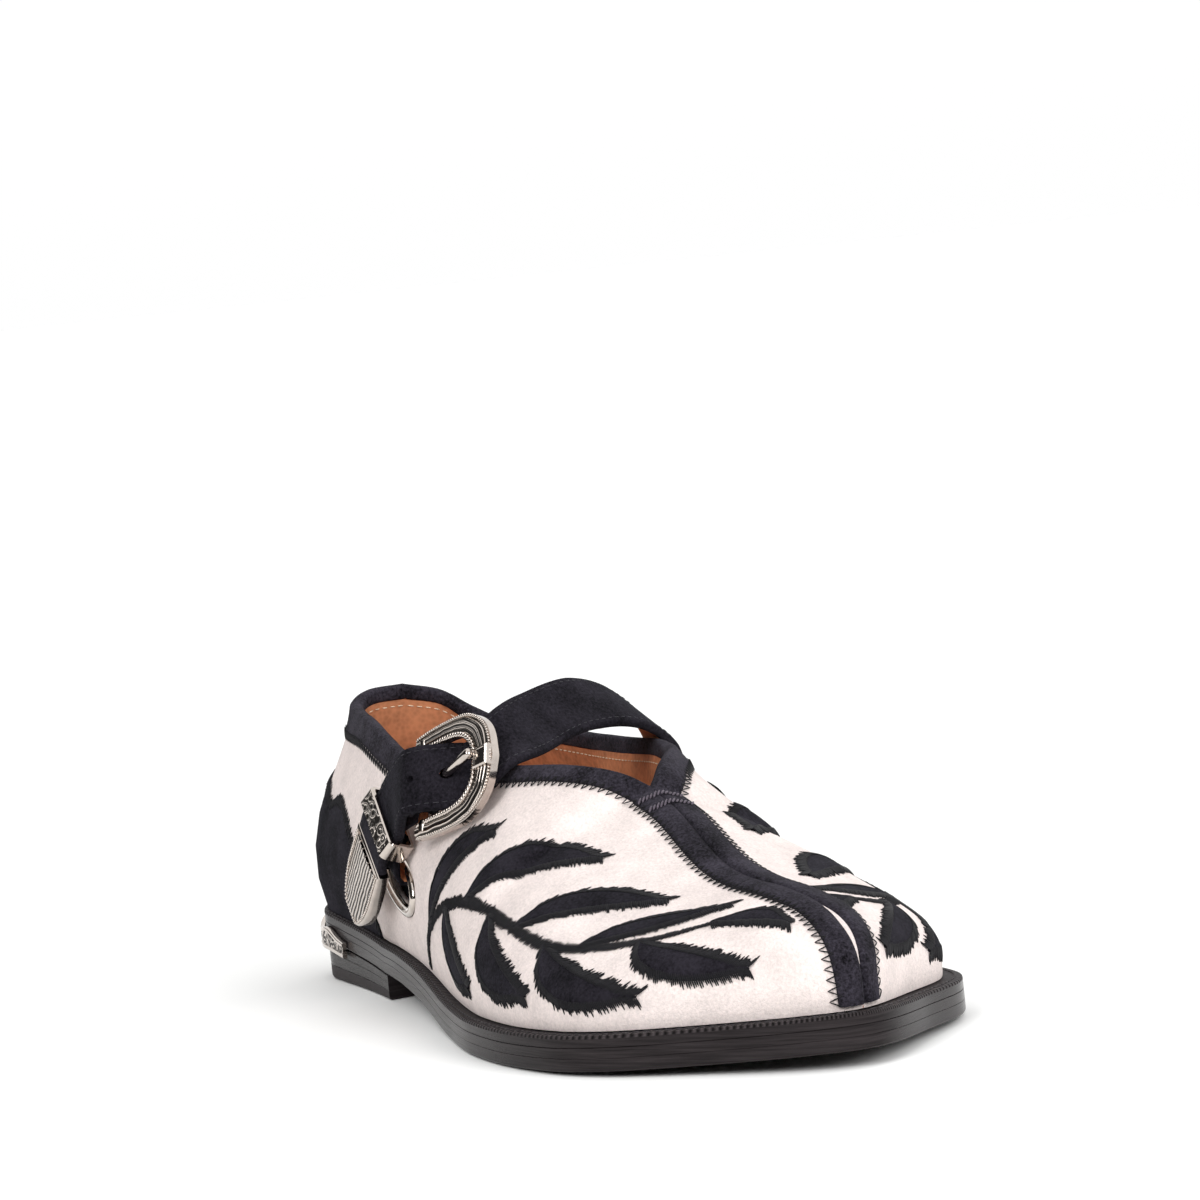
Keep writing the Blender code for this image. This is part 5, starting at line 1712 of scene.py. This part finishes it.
class LOAFER_OT_sole(bpy.types.Operator):
    """Outsole, welt, heel and sock"""

    bl_idname = "loafer.sole"
    bl_label = "Sole"

    def execute(self, context):
        self.outsole()
        self.welt(context.scene.loafer_sizes)
        self.heel()
        self.sock(context.scene.loafer_sizes)
        return {"FINISHED"}

    def outsole(self):
        """Leather outsole with a round edge, a layer line and a stitch channel underneath."""
        profile = [
            (7.2, sole_bottom, 0.0),
            (7.0, sole_bottom, 0.25),
            (6.4, sole_bottom, 0.25),
            (6.2, sole_bottom, 0.0),
            (EDGE_ROUND, sole_bottom, 0.0),
            (0.4 * EDGE_ROUND, sole_bottom, 0.2 * EDGE_ROUND),
            (0.1 * EDGE_ROUND, sole_bottom, 0.6 * EDGE_ROUND),
            (0.0, sole_bottom, EDGE_ROUND),
            (0.0, sole_bottom, 2.82),
            (0.09, sole_bottom, 2.9),
            (0.0, sole_bottom, 2.98),
            (0.0, outsole_top, GAP - 0.12),
            (0.1, outsole_top, GAP - 0.04),
        ]
        outsole = make_tube("leather_outsole", sole_rings(profile), ["sole_leather"], caps=cross_caps)
        seat_piece(outsole, "sole_leather", "outsole")

    def welt(self, sizes):
        """Welt strip with its stitch row."""
        profile = [
            (0.1, welt_bottom, 0.0),
            (0.0, welt_bottom, 0.1),
            (0.0, welt_top, -EDGE_ROUND),
            (0.1 * EDGE_ROUND, welt_top, -0.4 * EDGE_ROUND),
            (0.4 * EDGE_ROUND, welt_top, -0.1 * EDGE_ROUND),
            (EDGE_ROUND, welt_top, 0.0),
            (WELT_INNER, welt_top, 0.0),
            (WELT_INNER, welt_bottom, 0.0),
        ]
        places = [(abs(turn), level) for level in range(len(profile)) for turn in sole_turns()]
        wheeled = range(2, 6)
        welt = make_tube("leather_welt", sole_rings(profile), ["welt_leather", "sole_leather"],
                         lambda ring, place: ring not in wheeled, caps=None, places=places)
        seat_piece(welt, "welt_leather", "welt")
        line = sole_line(np.linspace(-TOE_RUN, TOE_RUN, 700), lambda turn: 0.45 + 0.3 * upper_inset(turn),
                         welt_top, 0.05)
        lay_threads("welt_stitches", seam(line, pitch=2.6, length=2.1), "welt_thread", half_thick=0.26)

    def heel(self):
        """Stacked heel with a rubber top piece and a hollow front face."""
        past_breast = 100.0
        runs = even_runs(past_breast, SOLE_STEP)
        turns = [-run for run in runs] + runs[:0:-1]
        profile = [
            (EDGE_ROUND, 0.0, 0.0),
            (0.3 * EDGE_ROUND, 0.0, 0.25 * EDGE_ROUND),
            (0.0, 0.0, EDGE_ROUND),
            (0.0, 0.36, -0.14),
            (0.16, 0.36, 0.0),
            (0.0, 0.36, 0.14),
            (0.0, 0.69, -0.1),
            (0.1, 0.69, 0.0),
            (0.0, 0.69, 0.1),
            (0.0, 1.0, -GAP),
        ]
        rings = []
        for inset, share, rise in profile:
            rings.append(sole_line(turns, lambda turn: HEEL_INSET + inset,
                                   lambda x: share * sole_bottom(x), rise))
        size = len(turns)
        faces = join_rings(len(rings), size, False)
        rubber_rings = 3
        finishes = [int(i // size < rubber_rings) for i in range(len(faces))]
        for first, finish in ((0, 1), ((len(rings) - 1) * size, 0)):
            over = cross_strips(first, size)
            faces += over
            finishes += [finish] * len(over)
        heel = make_piece("stacked_heel", ring_points(rings), faces, ["heel_stack", "heel_rubber"], finishes)
        half = SOLE[2].lateral
        radius = (BREAST_HOLLOW**2 + half**2) / (2 * BREAST_HOLLOW)
        centre = (BREAST_X - BREAST_HOLLOW + radius, ORIGIN_Y, 0.0)
        carve(heel, rod_cutter(centre, (0.0, 0.0, 1.0), radius, length=100.0, segments=256))
        seat_piece(heel, "heel_stack", "heel")

    def sock(self, sizes):
        """Lined insole board with a soft edge and a seam round it."""
        filler = WELT_INNER + 2 * GAP
        top = GAP + INSOLE_THICK
        rings = sole_rings([(filler, outsole_top, GAP), (filler, welt_top, GAP)])
        edge = [(0.0, GAP), (0.0, top - 0.9), (0.25, top - 0.4), (0.8, top - 0.1), (1.6, top), (6.0, top)]
        rings += sole_rings([(more, welt_top, rise) for more, rise in edge], insole_inset)
        sock = make_tube("leather_sock", rings, ["lining_leather"], caps=cross_caps)
        seat_piece(sock, "lining_leather", "insole")
        line = sole_line(np.linspace(-TOE_RUN, TOE_RUN, 600), lambda turn: insole_inset(turn) + 3.6,
                         welt_top, top + 0.06)
        laid = seam(line, sizes.seam_stitch / MM, STITCH_LENGTH)
        lay_threads("sock_seam", laid, "tan_thread", half_thick=0.15)


class LOAFER_OT_straps(bpy.types.Operator):
    """Instep strap and the short strap that carries the buckle"""

    bl_idname = "loafer.straps"
    bl_label = "Straps"

    def execute(self, context):
        sizes = context.scene.loafer_sizes
        frames = ribbon_frames(strap_rows(), steps=12)
        strap = make_strap_piece("instep_strap", frames, STRAP_THICK, facing=-1)
        start = at_buckle(PRONG_START)
        end = at_buckle(PRONG_END)
        carve(strap, rod_cutter(start.lerp(end, 0.25), end - start, PRONG_RADIUS, length=11.0))
        carve(strap, rod_cutter(at_buckle(SPARE_HOLE), buckle_axes()[2], radius=0.9, length=9.0))
        seat_piece(strap, "black_suede", "strap")
        end_row = frames[0]
        lines = strap_seams(frames, STRAP_THICK, facing=-1, inset=1.5)
        lines.append([end_row.point + end_row.across * beside - end_row.out * (STRAP_THICK / 2 + STITCH_LIFT)
                      + end_row.forward * 1.8 for beside in (-6.5, 6.5)])
        laid = []
        for line in lines:
            laid += seam(line, sizes.seam_stitch / MM, STRAP_STITCH_LENGTH)
        lay_threads("strap_seams", laid, "strap_thread", half_thick=0.12)
        frames = ribbon_frames(short_strap_rows(), steps=6)
        short = make_strap_piece("buckle_chape", frames, CHAPE_THICK, facing=1)
        carve(short, rod_cutter(at_buckle(PRONG_SLOT), buckle_axes()[2], PRONG_RADIUS + 1.2, length=9.0))
        seat_piece(short, "black_suede", "buckle_strap")
        return {"FINISHED"}


class LOAFER_OT_buckle(bpy.types.Operator):
    """Horseshoe buckle with a rope edge, its bar, prong and prong rest"""

    bl_idname = "loafer.buckle"
    bl_label = "Buckle"

    def execute(self, context):
        arm = smooth_path([Vector(row) for row in BUCKLE_ARM], steps=10)
        line = arm + [Vector((row[0], -row[1], row[2])) for row in reversed(arm[:-1])]
        section = self.section()
        rings = []
        rope = []
        inner_rope = []
        places = []
        distance = 0.0
        for i, row in enumerate(line):
            before = line[max(i - 1, 0)]
            after = line[min(i + 1, len(line) - 1)]
            forward = Vector((after[0] - before[0], after[1] - before[1])).normalized()
            outer = Vector((forward[1], -forward[0]))
            distance += (Vector(row[:2]) - Vector(before[:2])).length
            rings.append([self.beside_arm(row, outer, beside, above) for beside, above in section])
            places += [(distance, beside * row[2]) for beside, _ in section]
            rope.append(self.beside_arm(row, outer, ROPE_BESIDE, ROPE_ABOVE))
            inner_rope.append(self.beside_arm(row, outer, -ROPE_BESIDE, ROPE_ABOVE))
        grooved = range(4, 14)
        buckle = make_tube("horseshoe_frame", rings, ["nickel_silver", "grooved_nickel"],
                           lambda ring, place: place in grooved, places=places)
        seat_piece(buckle, "nickel_silver", "buckle_frame")
        out = np.array(buckle_axes()[2])
        slant = math.radians(41)
        laid = rope_turns(rope, out, pitch=1.05, length=2.0, slant=slant)
        lay_threads("buckle_rope", laid, "nickel_silver", half_thick=0.5, uneven=0.05)
        laid = rope_turns(inner_rope, out, pitch=0.8, length=1.1, slant=slant)
        lay_threads("buckle_inner_rope", laid, "nickel_silver", half_thick=0.3, uneven=0.05)
        self.bar_and_prong()
        return {"FINISHED"}

    def beside_arm(self, row, outer, beside, above):
        """Point of the frame, by shares of its band's width and of its thickness."""
        return at_buckle((row[0] + outer[0] * beside * row[2], row[1] + outer[1] * beside * row[2],
                          above * FRAME_THICK))

    def section(self):
        """Domed section of the frame with a groove beside each edge."""
        section = [(-0.5, -0.5), (0.5, -0.5)]
        for k in range(15):
            beside = 0.5 - k / 14
            dome = 0.02 + 0.4 * math.sqrt(max(0.0, 1 - (1.9 * beside) ** 2))
            groove = 0.09 * math.exp(-((abs(beside) - 0.33) / 0.05) ** 2)
            section.append((beside, dome - groove))
        return section

    def bar_and_prong(self):
        """Round bar, tapered prong and the square rest on the rim."""
        axis, _, out = buckle_axes()
        half = BUCKLE_ARM[0].across + 0.6
        rings = []
        for across in np.linspace(-half, half, 9):
            rings.append(round_ring(at_buckle((0.0, across, 0.0)), axis * BAR_RADIUS, out * BAR_RADIUS))
        seat_piece(make_tube("buckle_bar", rings, ["nickel_silver"]), "nickel_silver")
        start = at_buckle(PRONG_START)
        end = at_buckle(PRONG_END)
        forward = (end - start).normalized()
        beside = forward.cross(out).normalized()
        above = beside.cross(forward) * PRONG_FLATNESS
        rings = []
        for row in PRONG:
            rings.append(round_ring(start.lerp(end, row.share), beside * row.radius, above * row.radius))
        prong = make_tube("buckle_tongue", rings, ["nickel_silver"], sharp=60.0)
        seat_piece(prong, "nickel_silver", "buckle_prong")
        rings = []
        for row in PRONG_REST:
            length = REST_HALF_LENGTH - row.inset
            width = REST_HALF_WIDTH - row.inset
            corners = ((-length, -width), (length, -width), (length, width), (-length, width))
            rings.append([at_buckle((REST_AT + step, across, row.height)) for step, across in corners])
        seat_piece(make_tube("prong_rest", rings, ["nickel_silver"], sharp=20.0), "nickel_silver")


class LOAFER_OT_keeper_and_tip(bpy.types.Operator):
    """Engraved keeper loop and the beaded strap tip"""

    bl_idname = "loafer.keeper_and_tip"
    bl_label = "Keeper and tip"

    def execute(self, context):
        self.keeper()
        self.tip()
        return {"FINISHED"}

    def keeper(self):
        """Rounded loop, engraved on its front and polished on its sides and back."""
        along, across, out = right_angled(KEEPER_AXIS, KEEPER_ACROSS)
        centre = KEEPER_AT - out * (CHAPE_THICK + 2 * GAP) / 2
        wide = STRAP_WIDTH / 2 + GAP + KEEPER_WALL / 2
        deep = KEEPER_DEPTH / 2 + KEEPER_WALL / 2
        corner = 0.9
        loop = []
        for sign_x, sign_y, begin in ((1, 1, 0), (-1, 1, 90), (-1, -1, 180), (1, -1, 270)):
            for step in range(5):
                turn = math.radians(begin + 22.5 * step)
                facing = (math.cos(turn), math.sin(turn))
                loop.append((sign_x * (wide - corner) + corner * facing[0],
                             sign_y * (deep - corner) + corner * facing[1], *facing))
        half = KEEPER_LENGTH / 2
        wall = KEEPER_WALL / 2
        section = [(-half + 0.3, wall), (half - 0.3, wall), (half, wall - 0.3), (half, -wall + 0.2),
                   (half - 0.2, -wall), (-half + 0.2, -wall), (-half, -wall + 0.2), (-half, wall - 0.3)]
        rings = []
        places = []
        for x, y, normal_x, normal_y in loop:
            ring = []
            for step, level in section:
                beside = across * (x + normal_x * level)
                ring.append(centre + along * step + beside + out * (y + normal_y * level))
                places.append((step, x))
            rings.append(ring)
        front = 4
        keeper = make_tube("keeper_loop", rings, ["nickel_silver", "cut_nickel"],
                           lambda ring, place: ring == front and place == 0, caps=None, places=places)
        seat_piece(keeper, "nickel_silver", "keeper")

    def outline(self, inset):
        """Half outline of the shield: place along it and half width."""
        half = STRAP_WIDTH / 2 + 0.4
        rows = [(inset, half - inset)]
        for i in range(1, 4):
            rows.append((TIP_LENGTH * TIP_STRAIGHT * i / 4, half - inset))
        for i in range(17):
            angle = math.pi / 2 * i / 16
            reach = TIP_STRAIGHT + (1 - TIP_STRAIGHT) * math.sin(angle)
            wide = max(half * max(math.cos(angle), 0.0) ** 0.8 - inset, 0.0)
            rows.append((min(TIP_LENGTH * reach, TIP_LENGTH - 1.6 * inset), wide))
        return rows

    def around(self, inset):
        """Whole outline of the shield, from one corner round its point to the other."""
        rows = self.outline(inset)
        return [(place, -wide) for place, wide in rows] + list(reversed(rows[:-1]))

    def tip(self):
        """Shield-shaped tip with a crowned, lined face and a beaded border."""
        along, across, inward = right_angled(TIP_WAY, TIP_ACROSS)
        start = Vector(STRAP_END[:3]) + along * 2 * GAP

        def at_tip(place, beside, height):
            return start + along * place + across * beside - inward * height

        levels = ((0.0, -TIP_THICK / 2), (0.0, 0.5), (0.15, 0.95), (0.5, 1.2), (TIP_BORDER, TIP_RIM_HEIGHT))
        spots = [(*spot, height) for inset, height in levels for spot in self.around(inset)]
        size = len(self.around(0.0))
        faces = join_rings(len(levels), size, False) + [tuple(reversed(range(size)))]
        finishes = [0] * len(faces)
        rows = self.outline(TIP_BORDER)
        across_steps = 10
        first = len(spots)
        for place, wide in rows:
            for k in range(across_steps + 1):
                share = 2 * k / across_steps - 1
                height = TIP_RIM_HEIGHT + TIP_CROWN * (1 - share**2) * min(1.0, wide / 4.0)
                spots.append((place, wide * share, height))
        step = across_steps + 1
        for i in range(len(rows) - 1):
            for k in range(across_steps):
                low = first + i * step + k
                faces.append((low, low + 1, low + step + 1, low + step))
                finishes.append(1)
        tip = make_piece("shield_tip", [at_tip(*spot) for spot in spots], faces,
                         ["nickel_silver", "lined_nickel"], finishes, places=[spot[:2] for spot in spots])
        seat_piece(tip, "nickel_silver", "strap_tip")
        line = np.array([tuple(at_tip(*spot, TIP_RIM_HEIGHT)) for spot in self.around(BEAD_INSET)])
        wanted = np.arange(0.4, lengths_along(line)[-1], BEAD_PITCH)
        laid = [Laid(spot, tuple(along), 0.8) for spot in at_lengths(line, wanted)]
        for beside in np.linspace(-6.4, 6.4, 7):
            spot = at_tip(TIP_BORDER + 0.9 * math.cos(beside * 0.245), beside, 1.45)
            laid.append(Laid(tuple(spot), tuple(along), 1.3))
        lay_threads("tip_beads", laid, "nickel_silver", half_thick=0.42, uneven=0.0)


class LOAFER_OT_eyelet_and_plate(bpy.types.Operator):
    """Oval eyelet in the lateral quarter and the crested plate round the heel"""

    bl_idname = "loafer.eyelet_and_plate"
    bl_label = "Eyelet and heel plate"

    def execute(self, context):
        count = 96
        rings = []
        for i in range(count):
            ring = []
            for row in EYELET_RIM:
                place, facing = eyelet_place(2 * math.pi * i / count, row.out)
                ring.append(place + facing * row.height)
            rings.append(ring)
        eyelet = make_tube("oval_eyelet", rings, ["nickel_silver"], caps=None, sharp=60.0)
        seat_piece(eyelet, "nickel_silver", "eyelet")
        self.heel_plate()
        return {"FINISHED"}

    def heel_plate(self):
        """Plate with a crested top edge, a cut face and a plain rim."""
        end = HEEL_PLATE[-1].run
        rings = []
        places = []
        for turn in np.linspace(-end, end, 161):
            low = column(HEEL_PLATE, "low", abs(turn))
            high = column(HEEL_PLATE, "high", abs(turn))
            section = [(rim.out, low + rim.within) for rim in PLATE_RIM]
            section += [(rim.out, high - rim.within) for rim in reversed(PLATE_RIM)]
            rings.append([(*inset_edge(turn, -GAP - out), height) for out, height in section])
            places += [(turn, height) for _, height in section]
        face = len(PLATE_RIM) - 1
        plate = make_tube("crested_heel_plate", rings, ["nickel_silver", "cut_nickel"],
                          lambda ring, place: place == face, places=places)
        seat_piece(plate, "nickel_silver", "heel_plate")


class LOAFER_OT_stage(bpy.types.Operator):
    """Pale floor, soft studio light and the camera"""

    bl_idname = "loafer.stage"
    bl_label = "Stage"

    def execute(self, context):
        scene = context.scene
        mesh = bpy.data.meshes.new("studio_floor")
        work = bmesh.new()
        bmesh.ops.create_circle(work, cap_ends=True, segments=96, radius=FLOOR_RADIUS)
        work.to_mesh(mesh)
        work.free()
        mesh.materials.append(finish_of("floor_paint"))
        floor = add_object("studio_floor", mesh)
        floor.location = (0.0, 0.0, -FLOOR_DROP)
        scene.world = self.studio()
        for row in LAMPS:
            light = bpy.data.lights.new(row.name, "AREA")
            light.size = row.size
            light.energy = row.power
            lamp = add_object(row.name, light)
            lamp.location = row.place
            aim = LAMPS_AIM - Vector(row.place)
            lamp.rotation_euler = aim.to_track_quat("-Z", "Y").to_euler()
        scene.view_settings.view_transform = "Standard"
        scene.camera = self.camera()
        return {"FINISHED"}

    def studio(self):
        """White studio, brighter overhead, with two dark flags at the sides that the metal mirrors."""
        world = bpy.data.worlds.new("studio")
        world.use_nodes = True
        tree = world.node_tree
        background = tree.nodes["Background"]
        way = add_node(tree, "ShaderNodeTexCoord").outputs["Generated"]
        shades = []
        for flag in FLAGS:
            near = add_node(tree, "ShaderNodeVectorMath", {1: flag}, {0: way}, operation="DOT_PRODUCT")
            shades.append(add_node(tree, "ShaderNodeMapRange",
                                   {"From Min": 0.5, "From Max": 0.82, "To Min": 1.0, "To Max": 0.03},
                                   {"Value": near.outputs["Value"]}))
        both = add_node(tree, "ShaderNodeMath", links=dict(enumerate(shades)), operation="MULTIPLY")
        rise = add_node(tree, "ShaderNodeVectorMath", {1: (0.0, 0.0, 1.0)}, {0: way}, operation="DOT_PRODUCT")
        sky = add_node(tree, "ShaderNodeMapRange", {"To Min": 1.0, "To Max": 1.3},
                       {"Value": rise.outputs["Value"]})
        light = add_node(tree, "ShaderNodeMath", links={0: both, 1: sky}, operation="MULTIPLY")
        background.inputs["Color"].default_value = (1.0, 1.0, 1.0, 1.0)
        tree.links.new(light.outputs[0], background.inputs["Strength"])
        return world

    def camera(self):
        """A long lens in front of the toe on the lateral side, rolled a little."""
        azimuth = math.radians(CAMERA_AZIMUTH)
        elevation = math.radians(CAMERA_ELEVATION)
        roll = math.radians(CAMERA_ROLL)
        back = Vector((math.sin(azimuth) * math.cos(elevation), -math.cos(azimuth) * math.cos(elevation),
                       math.sin(elevation)))
        level = Vector((math.cos(azimuth), math.sin(azimuth), 0.0))
        rising = back.cross(level)
        right = level * math.cos(roll) + rising * math.sin(roll)
        up = rising * math.cos(roll) - level * math.sin(roll)
        lens = bpy.data.cameras.new("photo_camera")
        lens.sensor_width = SENSOR
        lens.lens = SENSOR * FOCAL_PIXELS / PHOTO_PIXELS
        lens.clip_end = 50.0
        camera = add_object("photo_camera", lens)
        turn = Matrix((right, up, back)).transposed().to_4x4()
        camera.matrix_world = Matrix.Translation(placed(CAMERA_AT)) @ turn
        return camera


class LOAFER_PT_pieces(bpy.types.Panel):
    """Lists the pieces and their sizes and colours"""

    bl_idname = "LOAFER_PT_pieces"
    bl_label = "Strap loafer"
    bl_space_type = "VIEW_3D"
    bl_region_type = "UI"
    bl_category = "Loafer"

    def draw(self, context):
        for group in (context.scene.loafer_sizes, context.scene.loafer_colours):
            for name in group.__annotations__:
                self.layout.prop(group, name)
        for operator in OPERATORS:
            self.layout.operator(operator.bl_idname)


OPERATORS = (LOAFER_OT_upper, LOAFER_OT_binding, LOAFER_OT_binding_stitches, LOAFER_OT_counter,
             LOAFER_OT_ornament, LOAFER_OT_sole, LOAFER_OT_straps, LOAFER_OT_buckle, LOAFER_OT_keeper_and_tip,
             LOAFER_OT_eyelet_and_plate, LOAFER_OT_stage)
CLASSES = (LoaferSizes, LoaferColours) + OPERATORS + (LOAFER_PT_pieces,)


def register():
    """Register the classes and their settings."""
    for cls in CLASSES:
        bpy.utils.register_class(cls)
    bpy.types.Scene.loafer_sizes = PointerProperty(type=LoaferSizes)
    bpy.types.Scene.loafer_colours = PointerProperty(type=LoaferColours)


def unregister():
    """Remove the settings and the classes."""
    del bpy.types.Scene.loafer_colours
    del bpy.types.Scene.loafer_sizes
    for cls in reversed(CLASSES):
        bpy.utils.unregister_class(cls)


def main():
    """Register the classes and build every piece."""
    register()
    bpy.ops.loafer.upper()
    bpy.ops.loafer.binding()
    bpy.ops.loafer.binding_stitches()
    bpy.ops.loafer.counter()
    bpy.ops.loafer.ornament()
    bpy.ops.loafer.sole()
    bpy.ops.loafer.straps()
    bpy.ops.loafer.buckle()
    bpy.ops.loafer.keeper_and_tip()
    bpy.ops.loafer.eyelet_and_plate()
    bpy.ops.loafer.stage()


if __name__ == "__main__":
    main()
